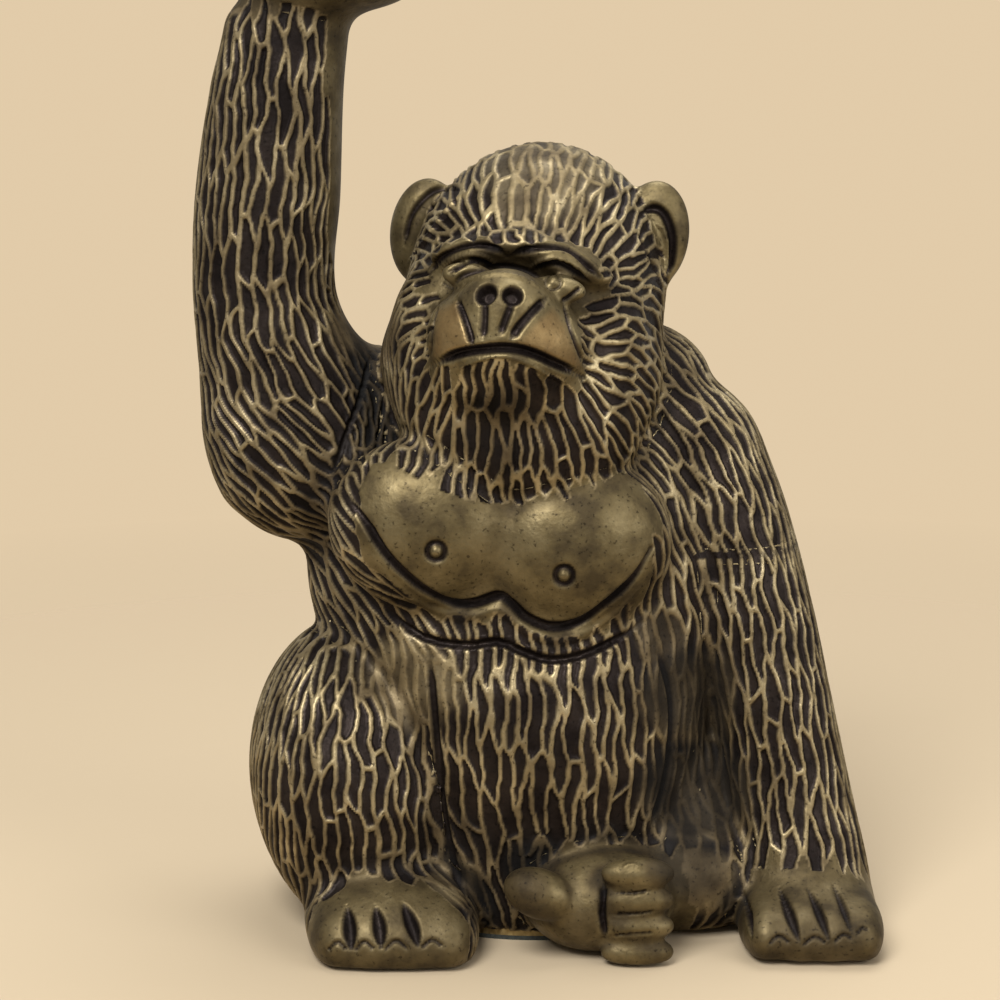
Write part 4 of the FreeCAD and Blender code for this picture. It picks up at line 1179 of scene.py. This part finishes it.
def range_node(tree, values, source, target):
    """Values that lie between two numbers, drawn out between two others."""
    node = tree.nodes.new("ShaderNodeMapRange")
    for name, value in zip(("From Min", "From Max", "To Min", "To Max"), source + target):
        node.inputs[name].default_value = value
    tree.links.new(values, node.inputs["Value"])
    return node.outputs["Result"]


def attribute_node(tree, name):
    node = tree.nodes.new("ShaderNodeAttribute")
    node.attribute_name = name
    return node.outputs["Fac"]


def add_bump(tree, shader, values, distance, strength):
    bump = tree.nodes.new("ShaderNodeBump")
    bump.inputs["Distance"].default_value = distance
    bump.inputs["Strength"].default_value = strength
    tree.links.new(values, bump.inputs["Height"])
    tree.links.new(bump.outputs["Normal"], shader.inputs["Normal"])


# The cast brass: worn open metal, the patina in the gouges and lines, the dull bare skin, then how much of
# the patina a hollow shows, and what the painted shade in creases and shade places and the small pits leave
# of the colour.
WORN = ((0.32, 0.16, 0.12, 0.064), (0.5, 0.30, 0.235, 0.125), (0.68, 0.50, 0.41, 0.24))
PATINA = ((0.35, 0.012, 0.008, 0.007), (0.65, 0.034, 0.025, 0.021))
SKIN = ((0.36, 0.080, 0.060, 0.030), (0.5, 0.150, 0.115, 0.054), (0.66, 0.215, 0.170, 0.086))
WARM_SKIN = (0.25, 0.15, 0.058, 1)
IN_HOLLOW = ((0.08, 0, 0, 0), (0.28, 0.55, 0.55, 0.55), (0.62, 1, 1, 1))
IN_SHADE = ((0.12, 1, 1, 1), (0.5, 0.40, 0.37, 0.35), (0.9, 0.09, 0.08, 0.075))
PITTED = ((0.29, 0.42, 0.40, 0.38), (0.37, 0.94, 0.94, 0.94), (0.62, 1.05, 1.04, 1.02))
# The castings' noises by their scale and detail, and their bump by its distance and strength.
MOTTLE = (130.0, 6.0)
GRAIN = (900.0, 3.0)
PIT_NOISE = (1100.0, 2.0)
GRAIN_BUMP = (0.00018, 0.6)


def cast_material():
    """Brass under a dark patina: brown-black in the gouges, worn to a dull gold on the ridges, darkened by
    painted shade in its creases.
    """
    material = bpy.data.materials.new("cast_brass_patina")
    tree, shader = shader_of(material)
    mottle = noise_node(tree, *MOTTLE)
    pits = noise_node(tree, *PIT_NOISE)
    shade_share = attribute_node(tree, "painted_shade")
    skin = mixed(tree, attribute_node(tree, "warm"), ramp_node(tree, mottle, SKIN), WARM_SKIN)
    open_metal = mixed(tree, attribute_node(tree, "bare"), ramp_node(tree, mottle, WORN), skin)
    recess = ramp_node(tree, attribute_node(tree, "hollow"), IN_HOLLOW)
    colour = mixed(tree, recess, open_metal, ramp_node(tree, mottle, PATINA))
    # Painted shade darkens the colour in creases and shade places.
    colour = mixed(tree, 1.0, colour, ramp_node(tree, shade_share, IN_SHADE), "MULTIPLY")
    colour = mixed(tree, 1.0, colour, ramp_node(tree, pits, PITTED), "MULTIPLY")
    tree.links.new(colour, shader.inputs["Base Color"])
    shader.inputs["Specular IOR Level"].default_value = 0.25
    # Where shade is painted, the metal also shines less and is rougher.
    tree.links.new(range_node(tree, shade_share, (0.25, 0.9), (0.75, 0.15)), shader.inputs["Metallic"])
    rough = tree.nodes.new("ShaderNodeMath")
    tree.links.new(range_node(tree, mottle, (0.3, 0.7), (0.60, 0.40)), rough.inputs[0])
    tree.links.new(range_node(tree, shade_share, (0.25, 0.9), (0.0, 0.3)), rough.inputs[1])
    tree.links.new(rough.outputs["Value"], shader.inputs["Roughness"])
    add_bump(tree, shader, noise_node(tree, *GRAIN), *GRAIN_BUMP)
    return material


material = cast_material()
for item in made:
    item.data.materials.append(material)


# The other materials, by their streaks or fibres: the noise's scale, detail and stretch, the darker and the
# lighter colour, the share of metal, the roughness, the bump's distance and strength, and the sheen.
STREAKED = {
    "rolled_brass": (
        (400.0, 4.0, (1, 14, 1)), (0.20, 0.145, 0.06), (0.42, 0.32, 0.15),
        0.9, (0.38, 0.55), (0.0001, 0.4), 0.0,
    ),
    "drawn_brass": (
        (400.0, 4.0, (1, 12, 12)), (0.34, 0.25, 0.10), (0.58, 0.45, 0.2),
        1.0, (0.25, 0.4), (0.0001, 0.4), 0.0,
    ),
    "screw_steel": (
        (400.0, 4.0, (10, 1, 1)), (0.30, 0.30, 0.29), (0.52, 0.52, 0.50),
        1.0, (0.3, 0.45), (0.0001, 0.4), 0.0,
    ),
    "pressed_felt": (
        (1500.0, 8.0, (1, 3, 1)), (0.010, 0.012, 0.010), (0.035, 0.042, 0.033),
        0.0, (0.85, 1.0), (0.0004, 0.8), 0.3,
    ),
}
STREAK_RANGE = (0.3, 0.7)


def streaked(name):
    """A metal with fine streaks along one axis, or a mat of fibres."""
    noise, dark, light, metallic, rough, bump, sheen = STREAKED[name]
    material = bpy.data.materials.new(name)
    tree, shader = shader_of(material)
    streaks = noise_node(tree, *noise)
    low, high = STREAK_RANGE
    tree.links.new(ramp_node(tree, streaks, ((low, *dark), (high, *light))), shader.inputs["Base Color"])
    tree.links.new(range_node(tree, streaks, STREAK_RANGE, rough), shader.inputs["Roughness"])
    shader.inputs["Metallic"].default_value = metallic
    shader.inputs["Sheen Weight"].default_value = sheen
    add_bump(tree, shader, streaks, *bump)
    return material


node_materials = {"base_plate": "rolled_brass", "base_screws": "screw_steel", "felt_pad": "pressed_felt"}
for limb_name in ("right_leg", "left_leg", "lowered_arm", "raised_arm", "neck", "wrist"):
    node_materials[f"{limb_name}_pins"] = "drawn_brass"
materials = {name: streaked(name) for name in STREAKED}
for node, name in node_materials.items():
    for slot_of_node in bpy.data.objects[node].material_slots:
        slot_of_node.material = materials[name]


def look_along(item, way):
    item.rotation_euler = Vector(way).to_track_quat("-Z", "Y").to_euler()


def mixed_shader(tree, share, first, second, output):
    mix = tree.nodes.new("ShaderNodeMixShader")
    for source, socket in zip((share, first, second), mix.inputs):
        tree.links.new(source, socket)
    tree.links.new(mix.outputs["Shader"], output.inputs["Surface"])


# The backdrop's colour, as the camera sees it, the light round the figure, and how far from it the floor
# melts into the backdrop, in metres.
BACKDROP = (0.76, 0.60, 0.40, 1)
STUDIO_COLOR = (0.90, 0.86, 0.80, 1)
STUDIO_STRENGTH = 0.5
FLOOR_COLOR = (0.47, 0.375, 0.25, 1)
FLOOR_HALF = 2.0
FLOOR_FADE = (0.16, 0.5)


def floor():
    """A pale floor that holds the figure's shadow and melts into the backdrop."""
    mesh = bpy.data.meshes.new("floor")
    half = FLOOR_HALF
    corners = (-half, -half, 0), (half, -half, 0), (half, half, 0), (-half, half, 0)
    mesh.from_pydata(corners, [], [(0, 1, 2, 3)])
    item = in_scene("floor", mesh)
    paint = bpy.data.materials.new("floor_paint")
    tree, shader = shader_of(paint)
    shader.inputs["Base Color"].default_value = FLOOR_COLOR
    shader.inputs["Roughness"].default_value = 0.9
    place = tree.nodes.new("ShaderNodeTexCoord")
    length = tree.nodes.new("ShaderNodeVectorMath")
    length.operation = "LENGTH"
    tree.links.new(place.outputs["Object"], length.inputs[0])
    near = range_node(tree, length.outputs["Value"], FLOOR_FADE, (1.0, 0.0))
    clear = tree.nodes.new("ShaderNodeBsdfTransparent")
    output = next(node for node in tree.nodes if node.type == "OUTPUT_MATERIAL")
    mixed_shader(tree, near, clear.outputs["BSDF"], shader.outputs["BSDF"], output)
    mesh.materials.append(paint)


floor()

LAMP_AIM = Vector((0, 0, 0.1))
# Each lamp's place, the width of its disk and its power in watts.
LAMPS = {
    "key": ((-0.35, -0.75, 0.95), 0.6, 16.0),
    "fill": ((0.8, -0.6, 0.5), 0.8, 5.0),
    "top": ((0.1, 0.25, 1.1), 0.8, 7.0),
}
for name, (place, size, power) in LAMPS.items():
    light = bpy.data.lights.new(name, "AREA")
    light.shape = "DISK"
    light.size = size
    light.energy = power
    lamp = in_scene(name, light)
    lamp.location = place
    look_along(lamp, LAMP_AIM - Vector(place))

# The world lights the figure evenly, and the camera sees the backdrop's colour instead of it.
world = bpy.data.worlds.new("studio")
world.use_nodes = True
tree = world.node_tree
studio = tree.nodes["Background"]
studio.inputs["Color"].default_value = STUDIO_COLOR
studio.inputs["Strength"].default_value = STUDIO_STRENGTH
seen = tree.nodes.new("ShaderNodeBackground")
seen.inputs["Color"].default_value = BACKDROP
rays = tree.nodes.new("ShaderNodeLightPath")
backgrounds = studio.outputs["Background"], seen.outputs["Background"]
mixed_shader(tree, rays.outputs["Is Camera Ray"], *backgrounds, tree.nodes["World Output"])
bpy.context.scene.world = world

camera_data = bpy.data.cameras.new("camera")
camera_data.sensor_width = SENSOR_WIDTH
camera_data.lens = SENSOR_WIDTH * FOCAL_PIXELS / FRAME_PIXELS
camera_data.clip_start = CLIP_START
camera = in_scene("camera", camera_data)
camera.location = Vector(EYE * MM)
look_along(camera, LOOK)
bpy.context.scene.camera = camera
bpy.context.scene.view_settings.view_transform = "Standard"
